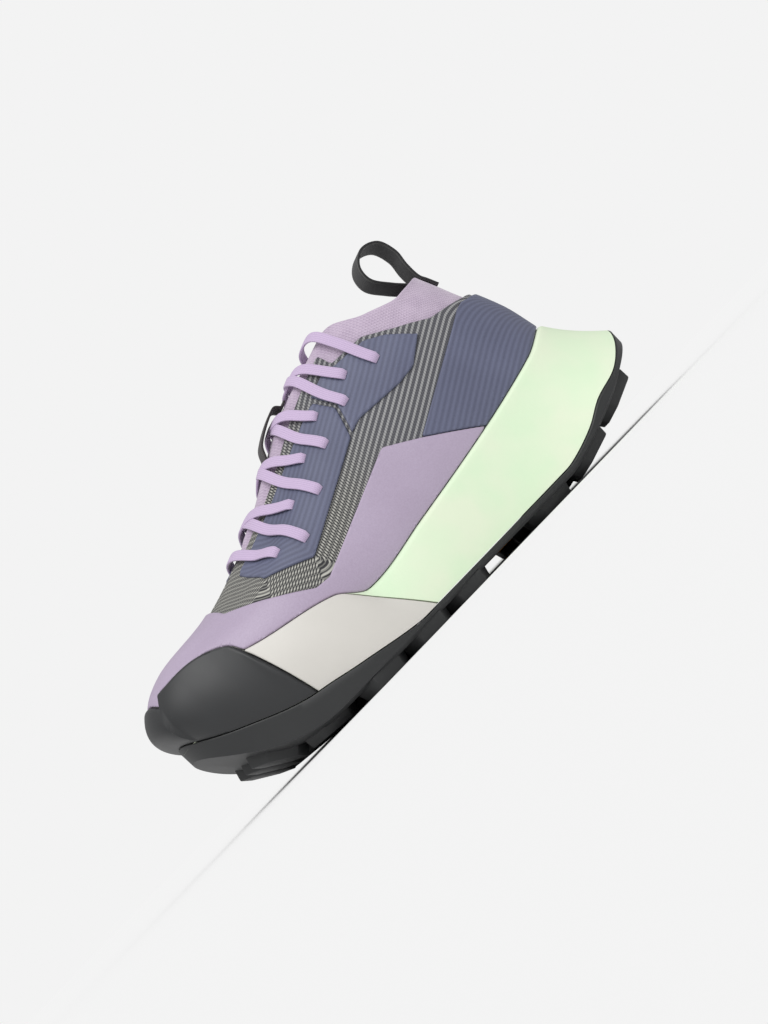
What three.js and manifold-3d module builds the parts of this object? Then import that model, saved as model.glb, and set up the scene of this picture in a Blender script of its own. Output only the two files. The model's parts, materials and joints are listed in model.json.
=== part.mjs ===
// Approach shoe for the left foot, standing empty on its lugs.
// Millimetres. +X points to the toe, +Y to the outer side of the foot, +Z up.
import * as THREE from "three";
import { mergeVertices } from "three/addons/utils/BufferGeometryUtils.js";
import Module from "manifold-3d";

const wasm = await Module();
wasm.setup();

// Main sizes
const shoeLength = 275; // heel flare to toe bumper
const ballWidth = 102; // sole across the ball of the foot
const tongueRise = 100; // peak of the tongue above the footbed

// Heights above the floor
const heelFootbed = 40; // footbed under the heel
const archFootbed = 32; // footbed under the arch
const ballFootbed = 26; // footbed under the ball
const toeFootbed = 40; // footbed at the tip of the toes
const heelRim = 62; // top edge of the midsole at the heel
const archRim = 37; // top edge of the midsole beside the arch
const jointRim = 32; // top edge of the midsole where the rand begins
const randRim = 50; // top edge of the rand where the toe cap begins
const capRim = 63; // top edge of the toe cap over the toes

// Rocker of the sole
const toeSpring = 33; // rise of the lug faces at the toe
const toeBreak = 0.8; // share of the length where the rise to the toe begins
const toeCurve = 2.2; // how late that rise comes
const heelBevel = 27; // rise of the lug faces at the heel
const heelBreak = 0.28; // share of the length where the rise to the heel begins
const heelCurve = 1.3;

// Walls and layers
const upperWall = 1.6; // woven shell
const sockWall = 1.8; // knitted collar and tongue
const filmThickness = 0.9; // mudguard, counter and eyestays
const coverThickness = 2.2; // rands and toe cap
const insoleThickness = 4;
const cupHeight = 7; // foam round the upper behind rands and toe cap
const fitGap = 0.3; // between pieces that meet

// Lugs and the plain badge place under the arch
const lugDepth = 4.5;
const lugLength = 25;
const lugWidth = 17;
const lugFlare = 3; // how much wider a lug is at its root
const lugRoot = 1.2; // how far a lug reaches into the rubber above it
const insetLength = 28;
const insetWidth = 18;
const insetThickness = 1;

// Laces, keeper and heel loop
const laceWidth = 5;
const laceThickness = 1.6;
const laceLift = filmThickness + 4 * fitGap + laceThickness / 2; // middle of a lace over the last
const laceBow = 8; // how far a crossing's middle sits toward the toe
const keeperWidth = 11;
const keeperThickness = 1.2;
const loopWidth = 14;
const loopThickness = 1.5;

// Mesh steps
const stepsAround = 48; // round the foot
const stepsUp = 12; // from the footbed to the collar
const bandSteps = 4; // up the side of the sole

// Sections of the last, one row for each ring from the footbed to the collar.
// back and front are shares of the length. heel, waistOut, waistIn, ball and toe are half widths, as shares
// of the ball width. heelArc and toeArc are the shares of the ring over which its ends round off. riseHeel,
// riseArch, riseBall and riseToe are heights above the footbed, as shares of the tongue's rise.
const lastRings = [
  { back: 0.1, front: 0.955, heel: 0.29, waistOut: 0.33, waistIn: 0.28, ball: 0.41,
    toe: 0.36, heelArc: 0.14, toeArc: 0.32, riseHeel: 0, riseArch: 0, riseBall: 0, riseToe: 0 },
  { back: 0.086, front: 0.983, heel: 0.325, waistOut: 0.365, waistIn: 0.325, ball: 0.45,
    toe: 0.4, heelArc: 0.15, toeArc: 0.32, riseHeel: 0.1, riseArch: 0.085, riseBall: 0.09, riseToe: 0.08 },
  { back: 0.084, front: 0.986, heel: 0.335, waistOut: 0.375, waistIn: 0.345, ball: 0.455,
    toe: 0.41, heelArc: 0.16, toeArc: 0.33, riseHeel: 0.2, riseArch: 0.17, riseBall: 0.19, riseToe: 0.16 },
  { back: 0.088, front: 0.972, heel: 0.33, waistOut: 0.37, waistIn: 0.35, ball: 0.43,
    toe: 0.38, heelArc: 0.17, toeArc: 0.34, riseHeel: 0.28, riseArch: 0.26, riseBall: 0.28, riseToe: 0.23 },
  { back: 0.096, front: 0.93, heel: 0.32, waistOut: 0.355, waistIn: 0.345, ball: 0.38,
    toe: 0.32, heelArc: 0.18, toeArc: 0.36, riseHeel: 0.38, riseArch: 0.365, riseBall: 0.38, riseToe: 0.3 },
  { back: 0.11, front: 0.81, heel: 0.305, waistOut: 0.325, waistIn: 0.32, ball: 0.31,
    toe: 0.26, heelArc: 0.2, toeArc: 0.38, riseHeel: 0.48, riseArch: 0.475, riseBall: 0.51, riseToe: 0.43 },
  { back: 0.128, front: 0.66, heel: 0.29, waistOut: 0.295, waistIn: 0.29, ball: 0.25,
    toe: 0.22, heelArc: 0.25, toeArc: 0.4, riseHeel: 0.59, riseArch: 0.58, riseBall: 0.64, riseToe: 0.63 },
  { back: 0.145, front: 0.51, heel: 0.28, waistOut: 0.275, waistIn: 0.275, ball: 0.225,
    toe: 0.2, heelArc: 0.34, toeArc: 0.44, riseHeel: 0.7, riseArch: 0.67, riseBall: 0.74, riseToe: 0.83 },
  { back: 0.158, front: 0.365, heel: 0.26, waistOut: 0.265, waistIn: 0.265, ball: 0.25,
    toe: 0.22, heelArc: 0.5, toeArc: 0.5, riseHeel: 0.78, riseArch: 0.76, riseBall: 0.84, riseToe: 0.96 },
];

// Where the columns of the last rings lie, as shares of a ring.
const heelAt = 0.15;
const waistAt = 0.42;
const ballAt = 0.72;
const toeAt = 0.9;

// Outline of the sole at the seam with the outsole, in shares of the ball width.
const soleRing = { back: 0, front: 0.985, heel: 0.405, waistOut: 0.385, waistIn: 0.33, ball: 0.515,
  toe: 0.475, heelArc: 0.15, toeArc: 0.32 };
const toeSway = -0.07; // the tip of the toe leans to the inner side, a share of the ball width
const swayFrom = 0.45; // share of the length where that lean begins
const sway = (x) => toeSway * ballWidth * THREE.MathUtils.smoothstep(x / shoeLength, swayFrom, 1);

// A smooth line through rows, by their keys, at a place along them.
function along(rows, place) {
  const last = rows.length - 1;
  if (place <= rows[0][0]) return rows[0][1];
  if (place >= rows[last][0]) return rows[last][1];
  const i = rows.findIndex((row, k) => k < last && place <= rows[k + 1][0]);
  const slope = (k) => {
    if (k <= 0 || k >= last) return 0;
    return (rows[k + 1][1] - rows[k - 1][1]) / (rows[k + 1][0] - rows[k - 1][0]);
  };
  const [x0, y0] = rows[i];
  const [x1, y1] = rows[i + 1];
  const width = x1 - x0;
  const t = (place - x0) / width;
  const t2 = t * t;
  const t3 = t2 * t;
  return (
    y0 * (2 * t3 - 3 * t2 + 1) + slope(i) * width * (t3 - 2 * t2 + t) +
    y1 * (3 * t2 - 2 * t3) + slope(i + 1) * width * (t3 - t2)
  );
}

// Height of the footbed above the floor.
const footbed = (x) =>
  along([[0.12, heelFootbed], [0.42, archFootbed], [0.66, ballFootbed], [0.8, ballFootbed + 4],
    [0.97, toeFootbed]], x / shoeLength);

// Height of the lug faces above the floor: flat, with a rise to the toe and another to the heel.
function rocker(x) {
  const share = x / shoeLength;
  const toe = Math.max(0, (share - toeBreak) / (1 - toeBreak));
  const heel = Math.max(0, (heelBreak - share) / heelBreak);
  return toeSpring * toe ** toeCurve + heelBevel * heel ** heelCurve;
}
const soleUnderside = (x) => rocker(x) + lugDepth;

// The seam of outsole and midsole over the lug faces, by share of length, with a step up beside the heel.
const seamRows = [[0, 13], [0.05, 10], [0.1, 8.5], [0.16, 10.5], [0.205, 8.5], [0.27, 7.8], [0.58, 7.5],
  [0.64, 7.5], [0.75, 13], [0.815, 17], [0.9, 19], [1, 14]];
const seamHeight = (x) => rocker(x) + along(seamRows, x / shoeLength);

// Half width of a ring at a share of its length, on the outer side (+1) or the inner side (-1).
function halfWidth(ring, share, side) {
  const waist = side > 0 ? ring.waistOut : ring.waistIn;
  const rows = [[heelAt, ring.heel], [waistAt, waist], [ballAt, ring.ball], [toeAt, ring.toe]];
  const intoHeel = Math.max(0, 1 - share / ring.heelArc);
  const intoToe = Math.max(0, (share - 1 + ring.toeArc) / ring.toeArc);
  const ends = Math.sqrt(1 - intoHeel ** 2) * Math.max(0, 1 - intoToe ** 2.3) ** (1 / 2.3);
  return along(rows, share) * ends * ballWidth;
}

// A point of a ring in plan; turn runs from the heel (0) along the inner side to the toe (0.5) and back.
function ringPlan(ring, turn) {
  const angle = turn * 2 * Math.PI;
  const share = (1 - Math.cos(angle)) / 2;
  const side = turn <= 0.5 ? -1 : 1;
  const x = (ring.back + share * (ring.front - ring.back)) * shoeLength;
  return new THREE.Vector3(x, side * halfWidth(ring, share, side) + sway(x), 0);
}

function lastRingPoint(ring, turn) {
  const point = ringPlan(ring, turn);
  const share = (1 - Math.cos(turn * 2 * Math.PI)) / 2;
  const rise = along(
    [[0, ring.riseHeel], [waistAt, ring.riseArch], [ballAt, ring.riseBall], [1, ring.riseToe]], share);
  point.z = footbed(point.x) + rise * tongueRise;
  return point;
}

// The last's surface: turn runs round the foot, up from the footbed (0) to the collar (1).
const ribs = new Map();
function lastSurface(turn, up) {
  const key = turn.toFixed(5);
  if (!ribs.has(key)) {
    const places = lastRings.map((ring) => lastRingPoint(ring, turn));
    ribs.set(key, new THREE.CatmullRomCurve3(places, false, "centripetal"));
  }
  return ribs.get(key).getPoint(THREE.MathUtils.clamp(up, 0, 1));
}

const wrap = (turn) => ((turn % 1) + 1) % 1;

// The same surface, moved out (or in, when negative) along its normal.
function offsetSurface(turn, up, distance) {
  const small = 0.004;
  const low = Math.max(0, up - small);
  const high = Math.min(1, up + small);
  const round = lastSurface(wrap(turn + small), up).sub(lastSurface(wrap(turn - small), up));
  const rise = lastSurface(turn, high).sub(lastSurface(turn, low));
  const normal = round.cross(rise).normalize();
  return lastSurface(turn, up).addScaledVector(normal, distance);
}

// Meshes and solids
const turns = Array.from({ length: stepsAround }, (_, i) => i / stepsAround);
const ups = Array.from({ length: stepsUp + 1 }, (_, i) => i / stepsUp);

const far = 400; // past every surface

function toGeometry(points, faces) {
  const geometry = new THREE.BufferGeometry();
  const numbers = points.flatMap((p) => [p.x, p.y, p.z]);
  geometry.setAttribute("position", new THREE.Float32BufferAttribute(numbers, 3));
  geometry.setIndex(faces);
  return geometry;
}

// Quads between rings that follow each other, with a ladder of quads across the first and the last ring, or
// with the last ring joined back to the first. From the ring numbered returning on, the rings come back down
// and the quads are split the other way, so that the two sides of a wall have the same facets.
function skin(rings, joined, returning = rings.length) {
  const count = rings[0].length;
  const faces = [];
  const bands = joined ? rings.length : rings.length - 1;
  for (let i = 0; i < bands; i++) {
    const low = i * count;
    const high = ((i + 1) % rings.length) * count;
    for (let j = 0; j < count; j++) {
      const next = (j + 1) % count;
      const [a, b, c, d] = [low + j, low + next, high + next, high + j];
      if (i < returning) faces.push(a, b, c, a, c, d);
      else faces.push(a, b, d, b, c, d);
    }
  }
  if (!joined) {
    const top = (rings.length - 1) * count;
    for (let j = 0; j < count / 2; j++) {
      const far = (count - j) % count;
      const farNext = count - j - 1;
      if (far !== j) {
        faces.push(top + j, top + farNext, top + far);
        faces.push(j, far, farNext);
      }
      if (j + 1 !== farNext) {
        faces.push(top + j, top + j + 1, top + farNext);
        faces.push(j, farNext, j + 1);
      }
    }
  }
  return toGeometry(rings.flat(), faces);
}

function solid(geometry) {
  const bare = geometry.clone();
  bare.deleteAttribute("normal");
  bare.deleteAttribute("uv");
  const merged = mergeVertices(bare, 1e-4);
  return new wasm.Manifold(
    new wasm.Mesh({
      numProp: 3,
      vertProperties: new Float32Array(merged.attributes.position.array),
      triVerts: new Uint32Array(merged.index.array),
    }),
  );
}

function fromSolid(body) {
  const mesh = body.getMesh();
  const geometry = new THREE.BufferGeometry();
  geometry.setAttribute("position", new THREE.BufferAttribute(new Float32Array(mesh.vertProperties), 3));
  geometry.setIndex(new THREE.BufferAttribute(new Uint32Array(mesh.triVerts), 1));
  return geometry;
}

// A wall of the last between two distances from its surface.
function lastShell(inner, outer) {
  const outside = ups.map((up) => turns.map((turn) => offsetSurface(turn, up, outer)));
  const inside = ups.map((up) => turns.map((turn) => offsetSurface(turn, up, inner)));
  return solid(skin([...outside, ...inside.reverse()], true, ups.length));
}

// The last as a filled form, from a floor at a drop below the footbed up to a lid over its collar.
function lastForm(distance, drop) {
  const rings = ups.map((up) => turns.map((turn) => offsetSurface(turn, up, distance)));
  const inner = turns.map((turn) => offsetSurface(turn, 0, Math.min(distance, 1.6 * distance)));
  const floor = inner.map((p) => new THREE.Vector3(p.x, p.y, footbed(p.x) - drop));
  return solid(skin([floor, ...rings], false));
}

// A prism through the shoe from an outline drawn in its side view, between two places across it.
function sidePrism(outline, from, to) {
  const shape = new THREE.Shape(outline.map(([x, z]) => new THREE.Vector2(x, z)));
  const geometry = new THREE.ExtrudeGeometry(shape, { depth: to - from, bevelEnabled: false, steps: 1 });
  geometry.rotateX(Math.PI / 2);
  geometry.translate(0, to, 0);
  return solid(geometry);
}

// A prism through the shoe from an outline drawn in plan, between two heights.
function planPrism(outline, from, to) {
  const shape = new THREE.Shape(outline.map(([x, y]) => new THREE.Vector2(x, y)));
  const geometry = new THREE.ExtrudeGeometry(shape, { depth: to - from, bevelEnabled: false, steps: 1 });
  geometry.translate(0, 0, from);
  return solid(geometry);
}

// Side of the sole: a band that runs from the seam with the outsole up to a line on the upper.
const rimLine = [[0.085, heelRim], [0.18, 54], [0.32, 45.5], [0.51, archRim], [0.65, jointRim], [0.7, 40],
  [0.84, randRim], [0.85, randRim + 5.3], [0.87, capRim - 3.5], [0.895, capRim - 1], [0.92, capRim],
  [0.955, capRim], [0.975, capRim + 0.5], [0.99, 2 * capRim]];
const bandBulge = [[0.03, -1.5], [0.4, 0.5], [0.75, 2], [0.93, 4], [0.98, 6]];
const rimThickness = coverThickness + 0.2;
const rimDepth = 3; // how far a side's top edge runs in under the surface of the last

function rimUp(turn) {
  let low = 0;
  let high = 1;
  for (let i = 0; i < 24; i++) {
    const middle = (low + high) / 2;
    const point = lastSurface(turn, middle);
    if (point.z < along(rimLine, point.x / shoeLength)) low = middle;
    else high = middle;
  }
  return low;
}
const rimUps = turns.map(rimUp);

// A ring's outline moved out in plan by a distance.
function plainRing(ring, distance, height) {
  return turns.map((turn) => {
    const point = ringPlan(ring, turn);
    const round = ringPlan(ring, wrap(turn + 0.002)).sub(ringPlan(ring, wrap(turn - 0.002)));
    const outward = new THREE.Vector3(round.y, -round.x, 0).normalize();
    point.addScaledVector(outward, distance);
    point.z = height(point.x);
    return point;
  });
}

const seamGap = 1.5 * fitGap; // upright, so that the gap square to the sloped seam is enough

// The whole side of the sole as a filled form, moved in by an inset and reaching a distance below the seam.
function sideForm(inset, below = 0) {
  const seam = plainRing(soleRing, -inset, (x) => seamHeight(x) + seamGap);
  const rim = turns.map((turn, i) => offsetSurface(turn, rimUps[i], rimThickness - inset));
  const closing = turns.map((turn, i) => offsetSurface(turn, rimUps[i], -rimDepth - inset));
  const between = [];
  for (let step = 1; step < bandSteps; step++) {
    const t = step / bandSteps;
    between.push(seam.map((low, i) => {
      const high = rim[i];
      const bulge = along(bandBulge, low.x / shoeLength);
      const round = seam[(i + 1) % stepsAround].clone().sub(seam[(i + stepsAround - 1) % stepsAround]);
      const outward = new THREE.Vector3(round.y, -round.x, 0).normalize();
      return low.clone().lerp(high, t).addScaledVector(outward, 4 * t * (1 - t) * bulge);
    }));
  }
  const foot = below > 0 ? [seam.map((p) => p.clone().setZ(p.z - below))] : [];
  return solid(skin([...foot, seam, ...between, rim, closing], false));
}

const roomForUpper = lastForm(fitGap, 2 * fitGap);
const fullSide = sideForm(0);
const cupShares = [0, 0.1, 0.42, 0.6, 0.7, 0.85, 0.97, 1.1];
const cupLine = cupShares.map((share) => [share * shoeLength, footbed(share * shoeLength) + cupHeight]);
const underCup = sidePrism([[-far, -far], ...cupLine, [far, -far]], -far, far);
const core = sideForm(coverThickness + 2 * fitGap).intersect(underCup);
const cover = fullSide.subtract(sideForm(coverThickness, 5)).subtract(roomForUpper);

const randBack = [[0.59, 6], [0.665, 31]]; // slanted joint of midsole and rand, share of length and height
const capBack = [[0.815, 17], [0.848, 54]]; // slanted joint of rand and toe cap
const underFloor = -20;
const overCap = 2 * capRim;
const slant = (line, shift) => {
  const [[x0, z0], [x1, z1]] = line;
  const slope = ((x1 - x0) * shoeLength) / (z1 - z0);
  const at = (x, z, height) => [x * shoeLength + slope * (height - z) + shift, height];
  return [at(x0, z0, underFloor), at(x1, z1, overCap)];
};
const behind = (line, shift) =>
  sidePrism([[-far, underFloor], ...slant(line, shift), [-far, overCap]], -far, far);

const midsole = fullSide.intersect(behind(randBack, 0)).add(core).subtract(roomForUpper);
const rands = cover.intersect(behind(capBack, 0)).subtract(behind(randBack, fitGap));
const toeCap = cover.subtract(behind(capBack, fitGap));

// Outsole
// Edge of the outsole: how far its underside lies in from the seam, by share of length, and its side.
const undersideInset = [[0, 7], [0.12, 3], [0.3, 2.2], [0.7, 2.2], [0.85, 6], [0.98, 13]];
const underside = turns.map((turn, i) => {
  const x = ringPlan(soleRing, turn).x;
  return plainRing(soleRing, -along(undersideInset, x / shoeLength), soleUnderside)[i];
});
const edgeStand = 0.6; // how far the outsole stands out past the midsole
const edgeRise = 1.4; // height of its slanted lower edge
const edgeLow = plainRing(soleRing, edgeStand / 2, (x) => soleUnderside(x) + edgeRise);
const edgeHigh = plainRing(soleRing, edgeStand, seamHeight);
let outsole = solid(skin([underside, edgeLow, edgeHigh], false));

// Rows of lugs: share of the length, how many, how much of the sole they span, and width in lug widths.
const lugRows = [
  { at: 0.905, count: 3, reach: 0.5, width: 0.88, shape: "hexagon" },
  { at: 0.82, count: 3, reach: 0.62, width: 1, shape: "hexagon" },
  { at: 0.725, count: 4, reach: 0.78, width: 1.06, shape: "hexagon" },
  { at: 0.63, count: 4, reach: 0.78, width: 1, shape: "hexagon" },
  { at: 0.535, count: 4, reach: 0.76, width: 0.94, shape: "hexagon" },
  { at: 0.332, count: 3, reach: 0.64, width: 0.88, shape: "chevron" },
  { at: 0.22, count: 3, reach: 0.66, width: 1, shape: "chevron" },
  { at: 0.115, count: 3, reach: 0.62, width: 1, shape: "chevron" },
];
const lugOutlines = {
  hexagon: [[-0.5, 0], [-0.26, -0.5], [0.26, -0.5], [0.5, 0], [0.26, 0.5], [-0.26, 0.5]],
  chevron: [[-0.18, 0], [-0.42, -0.5], [0.2, -0.5], [0.46, -0.18], [0.46, 0.18], [0.2, 0.5], [-0.42, 0.5]],
};

function lug(row, y) {
  const outline = lugOutlines[row.shape];
  const x = row.at * shoeLength;
  const wide = row.width * lugWidth;
  const corner = ([u, v], grow, z) => new THREE.Vector3(u * (lugLength + grow), v * (wide + grow), z);
  const face = outline.map((p) => corner(p, 0, 0));
  const root = outline.map((p) => corner(p, lugFlare, lugDepth + lugRoot));
  const faces = [];
  const n = outline.length;
  for (let i = 0; i < n; i++) {
    const next = (i + 1) % n;
    faces.push(i, next, n + next, i, n + next, n + i);
    if (i > 0 && i < n - 1) {
      faces.push(0, i + 1, i);
      faces.push(n, n + i, n + i + 1);
    }
  }
  const geometry = toGeometry([...face, ...root], faces);
  const reach = lugLength / 2;
  const low = Math.min(rocker(x - reach), rocker(x + reach));
  const slope = Math.atan2(rocker(x + reach) - rocker(x - reach), lugLength);
  geometry.rotateY(-slope);
  geometry.computeBoundingBox();
  geometry.translate(x, y, low - geometry.boundingBox.min.z);
  return solid(geometry);
}

for (const row of lugRows) {
  const x = row.at * shoeLength;
  const share = (row.at - soleRing.back) / (soleRing.front - soleRing.back);
  const outer = halfWidth(soleRing, share, 1);
  const inner = -halfWidth(soleRing, share, -1);
  for (let i = 0; i < row.count; i++) {
    const t = 0.5 + (i / (row.count - 1) - 0.5) * row.reach;
    outsole = outsole.add(lug(row, THREE.MathUtils.lerp(inner, outer, t) + sway(x)));
  }
}

// Plain oval inset in a shallow pocket under the arch
const insetAt = 0.42;
const oval = (grow) => turns.map((turn) => {
  const angle = turn * 2 * Math.PI;
  return [
    insetAt * shoeLength + (insetLength / 2 + grow) * Math.cos(angle),
    (insetWidth / 2 + grow) * Math.sin(angle),
  ];
});
const pocketRoof = lugDepth + insetThickness * 0.9;
outsole = outsole.subtract(planPrism(oval(fitGap), 0, pocketRoof));
const inset = planPrism(oval(0), pocketRoof - fitGap - insetThickness, pocketRoof - fitGap);

// Points of the side view from rows of [share of the length, rise over the footbed in tongue rises].
const side = (rows) => rows.map(([share, rise]) =>
  [share * shoeLength, footbed(share * shoeLength) + rise * tongueRise]);
const bothSides = (outline) => sidePrism(outline, -far, far);

// Upper: one woven shell, open at the collar, the throat and the footbed
const hemWidth = 1.5; // the weave seen above the films along the collar
const collarLine = [[-0.4, 0.54], [0.16, 0.55], [0.24, 0.59], [0.29, 0.68], [0.34, 0.78], [0.4, 0.81],
  [0.42, 1.6], [-0.4, 1.6]];
const throat = [[0.715, 6], [0.58, 11], [0.38, 15], [0.2, 15]];
const throatPlan = (grow) => [
  ...throat.map(([share, half]) => [share * shoeLength + grow, half + grow]),
  ...throat.map(([share, half]) => [share * shoeLength + grow, -half - grow]).reverse(),
].reverse();
const stayBack = 3.5; // the films' edge beside the throat
const stayFront = 12; // and before its front end
const throatCut = (grow) => planPrism(throatPlan(grow), heelRim, far);
const aboveCollar = bothSides(side(collarLine));
const upper = lastShell(-upperWall, 0).subtract(aboveCollar).subtract(throatCut(0));

// Knitted collar and tongue, one sock inside the shell
const sockLine = [[-0.1, 0.44], [0.33, 0.49], [0.55, 0.49], [0.77, 0.35], [0.77, 1.6], [-0.1, 1.6]];
const sockZone = bothSides(side(sockLine));
const sockOuter = -upperWall - 2 * fitGap;
const sockInner = sockOuter - sockWall;
const sock = lastShell(sockInner, sockOuter).intersect(sockZone);

// Insole on the footbed, inside the shell
const insoleTop = cupShares.map((share) =>
  [share * shoeLength, footbed(share * shoeLength) + insoleThickness]);
const underInsoleTop = bothSides([[-far, -far], ...insoleTop, [far, -far]]);
const insole = lastForm(-upperWall - fitGap, fitGap).intersect(underInsoleTop);

// Films over the shell, cut between two larger forms of the last
const sideRoom = sideForm(-fitGap, 5);
const film = lastShell(fitGap, fitGap + filmThickness)
  .subtract(sideRoom.add(sideRoom.translate([0, 0, 1.7 * fitGap])))
  .subtract(throatCut(stayBack))
  .subtract(aboveCollar.translate([0, 0, -hemWidth]));
const outerSide = planPrism([[-far, 0], [far, 0], [far, far], [-far, far]], -far, far);
const guardOutline = side([[0.276, -0.4], [0.276, -0.06], [0.32, 0.11], [0.41, 0.29], [0.468, 0.395],
  [0.681, 0.206], [0.708, 0.207], [0.754, 0.279], [0.81, 0.365], [0.816, 0.7], [1.09, 0.7], [1.09, -0.4]]);
const counterOutline = side([[-0.1, -0.4], [0.36, -0.35], [0.415, 0.285], [0.196, 0.524], [0.131, 0.562],
  [-0.1, 0.58]]);
const lowerStayOutline = side([[0.74, 0.38], [0.672, 0.309], [0.484, 0.526], [0.458, 0.66], [0.51, 1.1],
  [0.78, 1.1]]);
const upperStayOutline = side([[0.476, 0.534], [0.451, 0.549], [0.364, 0.513], [0.325, 0.513], [0.278, 0.585],
  [0.345, 0.8], [0.407, 0.9], [0.5, 1.1], [0.451, 0.669]]);
const guardZone = bothSides(guardOutline);
const mudguard = film.intersect(guardZone);
const counterRoom = guardZone.add(guardZone.translate([-fitGap, 0, fitGap]));
const heelCounter = film.intersect(bothSides(counterOutline)).subtract(counterRoom);
const lowerStays = film.intersect(bothSides(lowerStayOutline))
  .subtract(throatCut(stayBack).translate([stayFront, 0, 0]));
const upperStays = film.intersect(bothSides(upperStayOutline))
  .subtract(bothSides(lowerStayOutline).translate([-fitGap, 0, 0]));

// A ray from the middle of a section, out through the last, finds the point at an angle from upright.
const probes = new Map();
const caster = new THREE.Raycaster();
function probe(lift) {
  if (!probes.has(lift)) {
    const rings = ups.map((up) => turns.map((turn) => offsetSurface(turn, up, lift)));
    const material = new THREE.MeshBasicMaterial({ side: THREE.DoubleSide });
    probes.set(lift, new THREE.Mesh(skin(rings, false), material));
  }
  return probes.get(lift);
}
const sectionMiddle = (x) => new THREE.Vector3(x, 0, footbed(x) + 0.18 * tongueRise);
function overLast(x, angle, lift) {
  caster.set(sectionMiddle(x), new THREE.Vector3(0, Math.sin(angle), Math.cos(angle)));
  const hits = caster.intersectObject(probe(lift));
  return hits[hits.length - 1].point;
}

// The angle at which the last's surface has a height, on the outer side (+1) or the inner side (-1).
function angleAt(x, height, sideSign) {
  let low = 0;
  let high = 1.5;
  for (let i = 0; i < 20; i++) {
    const middle = (low + high) / 2;
    if (overLast(x, sideSign * middle, 0).z > height) low = middle;
    else high = middle;
  }
  return sideSign * low;
}

// A flat band along a line of stations, each with a place, a direction across it and a direction through it.
function band(stations, width, thickness) {
  const rings = stations.map(({ at, across, through }) =>
    [[-1, -1], [-1, 1], [1, 1], [1, -1]].map(([u, v]) =>
      at.clone().addScaledVector(across, (u * width) / 2).addScaledVector(through, (v * thickness) / 2)));
  const body = solid(skin(rings, false));
  return body.volume() > 0 ? body : solid(skin(rings.reverse(), false));
}

const laceStations = 13;
const lacePitch = 1.5; // how far either side of a station the slope of the last is read
function laceBand(from, to, bow) {
  const stations = [];
  for (let i = 0; i < laceStations; i++) {
    const t = i / (laceStations - 1);
    const place = (s) => {
      const x = THREE.MathUtils.lerp(from.x, to.x, s) + bow * Math.sin(Math.PI * s);
      return overLast(x, THREE.MathUtils.lerp(from.angle, to.angle, s), laceLift);
    };
    const at = place(t);
    const way = place(Math.min(1, t + 0.02)).sub(place(Math.max(0, t - 0.02))).normalize();
    const angle = Math.atan2(at.y, at.z - sectionMiddle(at.x).z);
    const fore = overLast(at.x + lacePitch, angle, laceLift).sub(overLast(at.x - lacePitch, angle, laceLift));
    const through = fore.cross(way).normalize();
    if (through.z < 0 && Math.abs(through.z) > Math.abs(through.y)) through.negate();
    if (through.y * at.y < 0 && Math.abs(through.y) > Math.abs(through.z)) through.negate();
    const across = new THREE.Vector3().crossVectors(way, through).normalize();
    stations.push({ at, across, through });
  }
  return band(stations, laceWidth, laceThickness);
}

// Lace holes from the top of the throat down, as share of the length and rise over the footbed.
const laceHoles = [
  { outerX: 0.355, outerRise: 0.631, innerX: 0.406, innerRise: 0.695 },
  { outerX: 0.443, outerRise: 0.618, innerX: 0.487, innerRise: 0.681 },
  { outerX: 0.518, outerRise: 0.571, innerX: 0.554, innerRise: 0.609 },
  { outerX: 0.585, outerRise: 0.469, innerX: 0.625, innerRise: 0.519 },
  { outerX: 0.658, outerRise: 0.378, innerX: 0.701, innerRise: 0.419 },
];
const hole = (share, rise, sideSign) => {
  const x = share * shoeLength;
  return { x, angle: angleAt(x, footbed(x) + rise * tongueRise, sideSign) };
};
const outerHole = (n, sideSign) => hole(laceHoles[n].outerX, laceHoles[n].outerRise, sideSign);
const innerHole = (n, sideSign) => hole(laceHoles[n].innerX, laceHoles[n].innerRise, sideSign);
const laces = {
  lace_top: laceBand(outerHole(0, 1), outerHole(0, -1), laceBow),
  lace_bottom: laceBand(innerHole(4, 1), innerHole(4, -1), laceBow * 0.75),
};
for (let n = 0; n < laceHoles.length - 1; n++) {
  laces["lace_crossing_" + (n + 1)] = laceBand(innerHole(n, 1), outerHole(n + 1, -1), laceBow)
    .add(laceBand(innerHole(n, -1), outerHole(n + 1, 1), laceBow));
}

// A band in the middle plane, through places of the side view.
function middleBand(places, width, thickness, steps) {
  const points = places.map(([x, z]) => new THREE.Vector3(x, 0, z));
  const curve = new THREE.CatmullRomCurve3(points, false, "centripetal");
  const stations = Array.from({ length: steps + 1 }, (_, i) => {
    const way = curve.getTangent(i / steps);
    const through = new THREE.Vector3(-way.z, 0, way.x);
    return { at: curve.getPoint(i / steps), across: new THREE.Vector3(0, 1, 0), through };
  });
  return band(stations, width, thickness);
}

// Keeper over the second crossing, with both ends on the tongue
const keeperOn = sockOuter + 2 * fitGap + keeperThickness / 2;
const keeperOver = laceLift + laceThickness / 2 + 1.7 * fitGap + keeperThickness / 2;
const keeperRows = [[0.481, keeperOn], [0.491, keeperOn], [0.505, keeperOver], [0.558, keeperOver],
  [0.573, keeperOn], [0.585, keeperOn]];
const keeper = middleBand(keeperRows.map(([share, lift]) => {
  const point = overLast(share * shoeLength, 0, lift);
  return [point.x, point.z];
}), keeperWidth, keeperThickness, 14);

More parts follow.
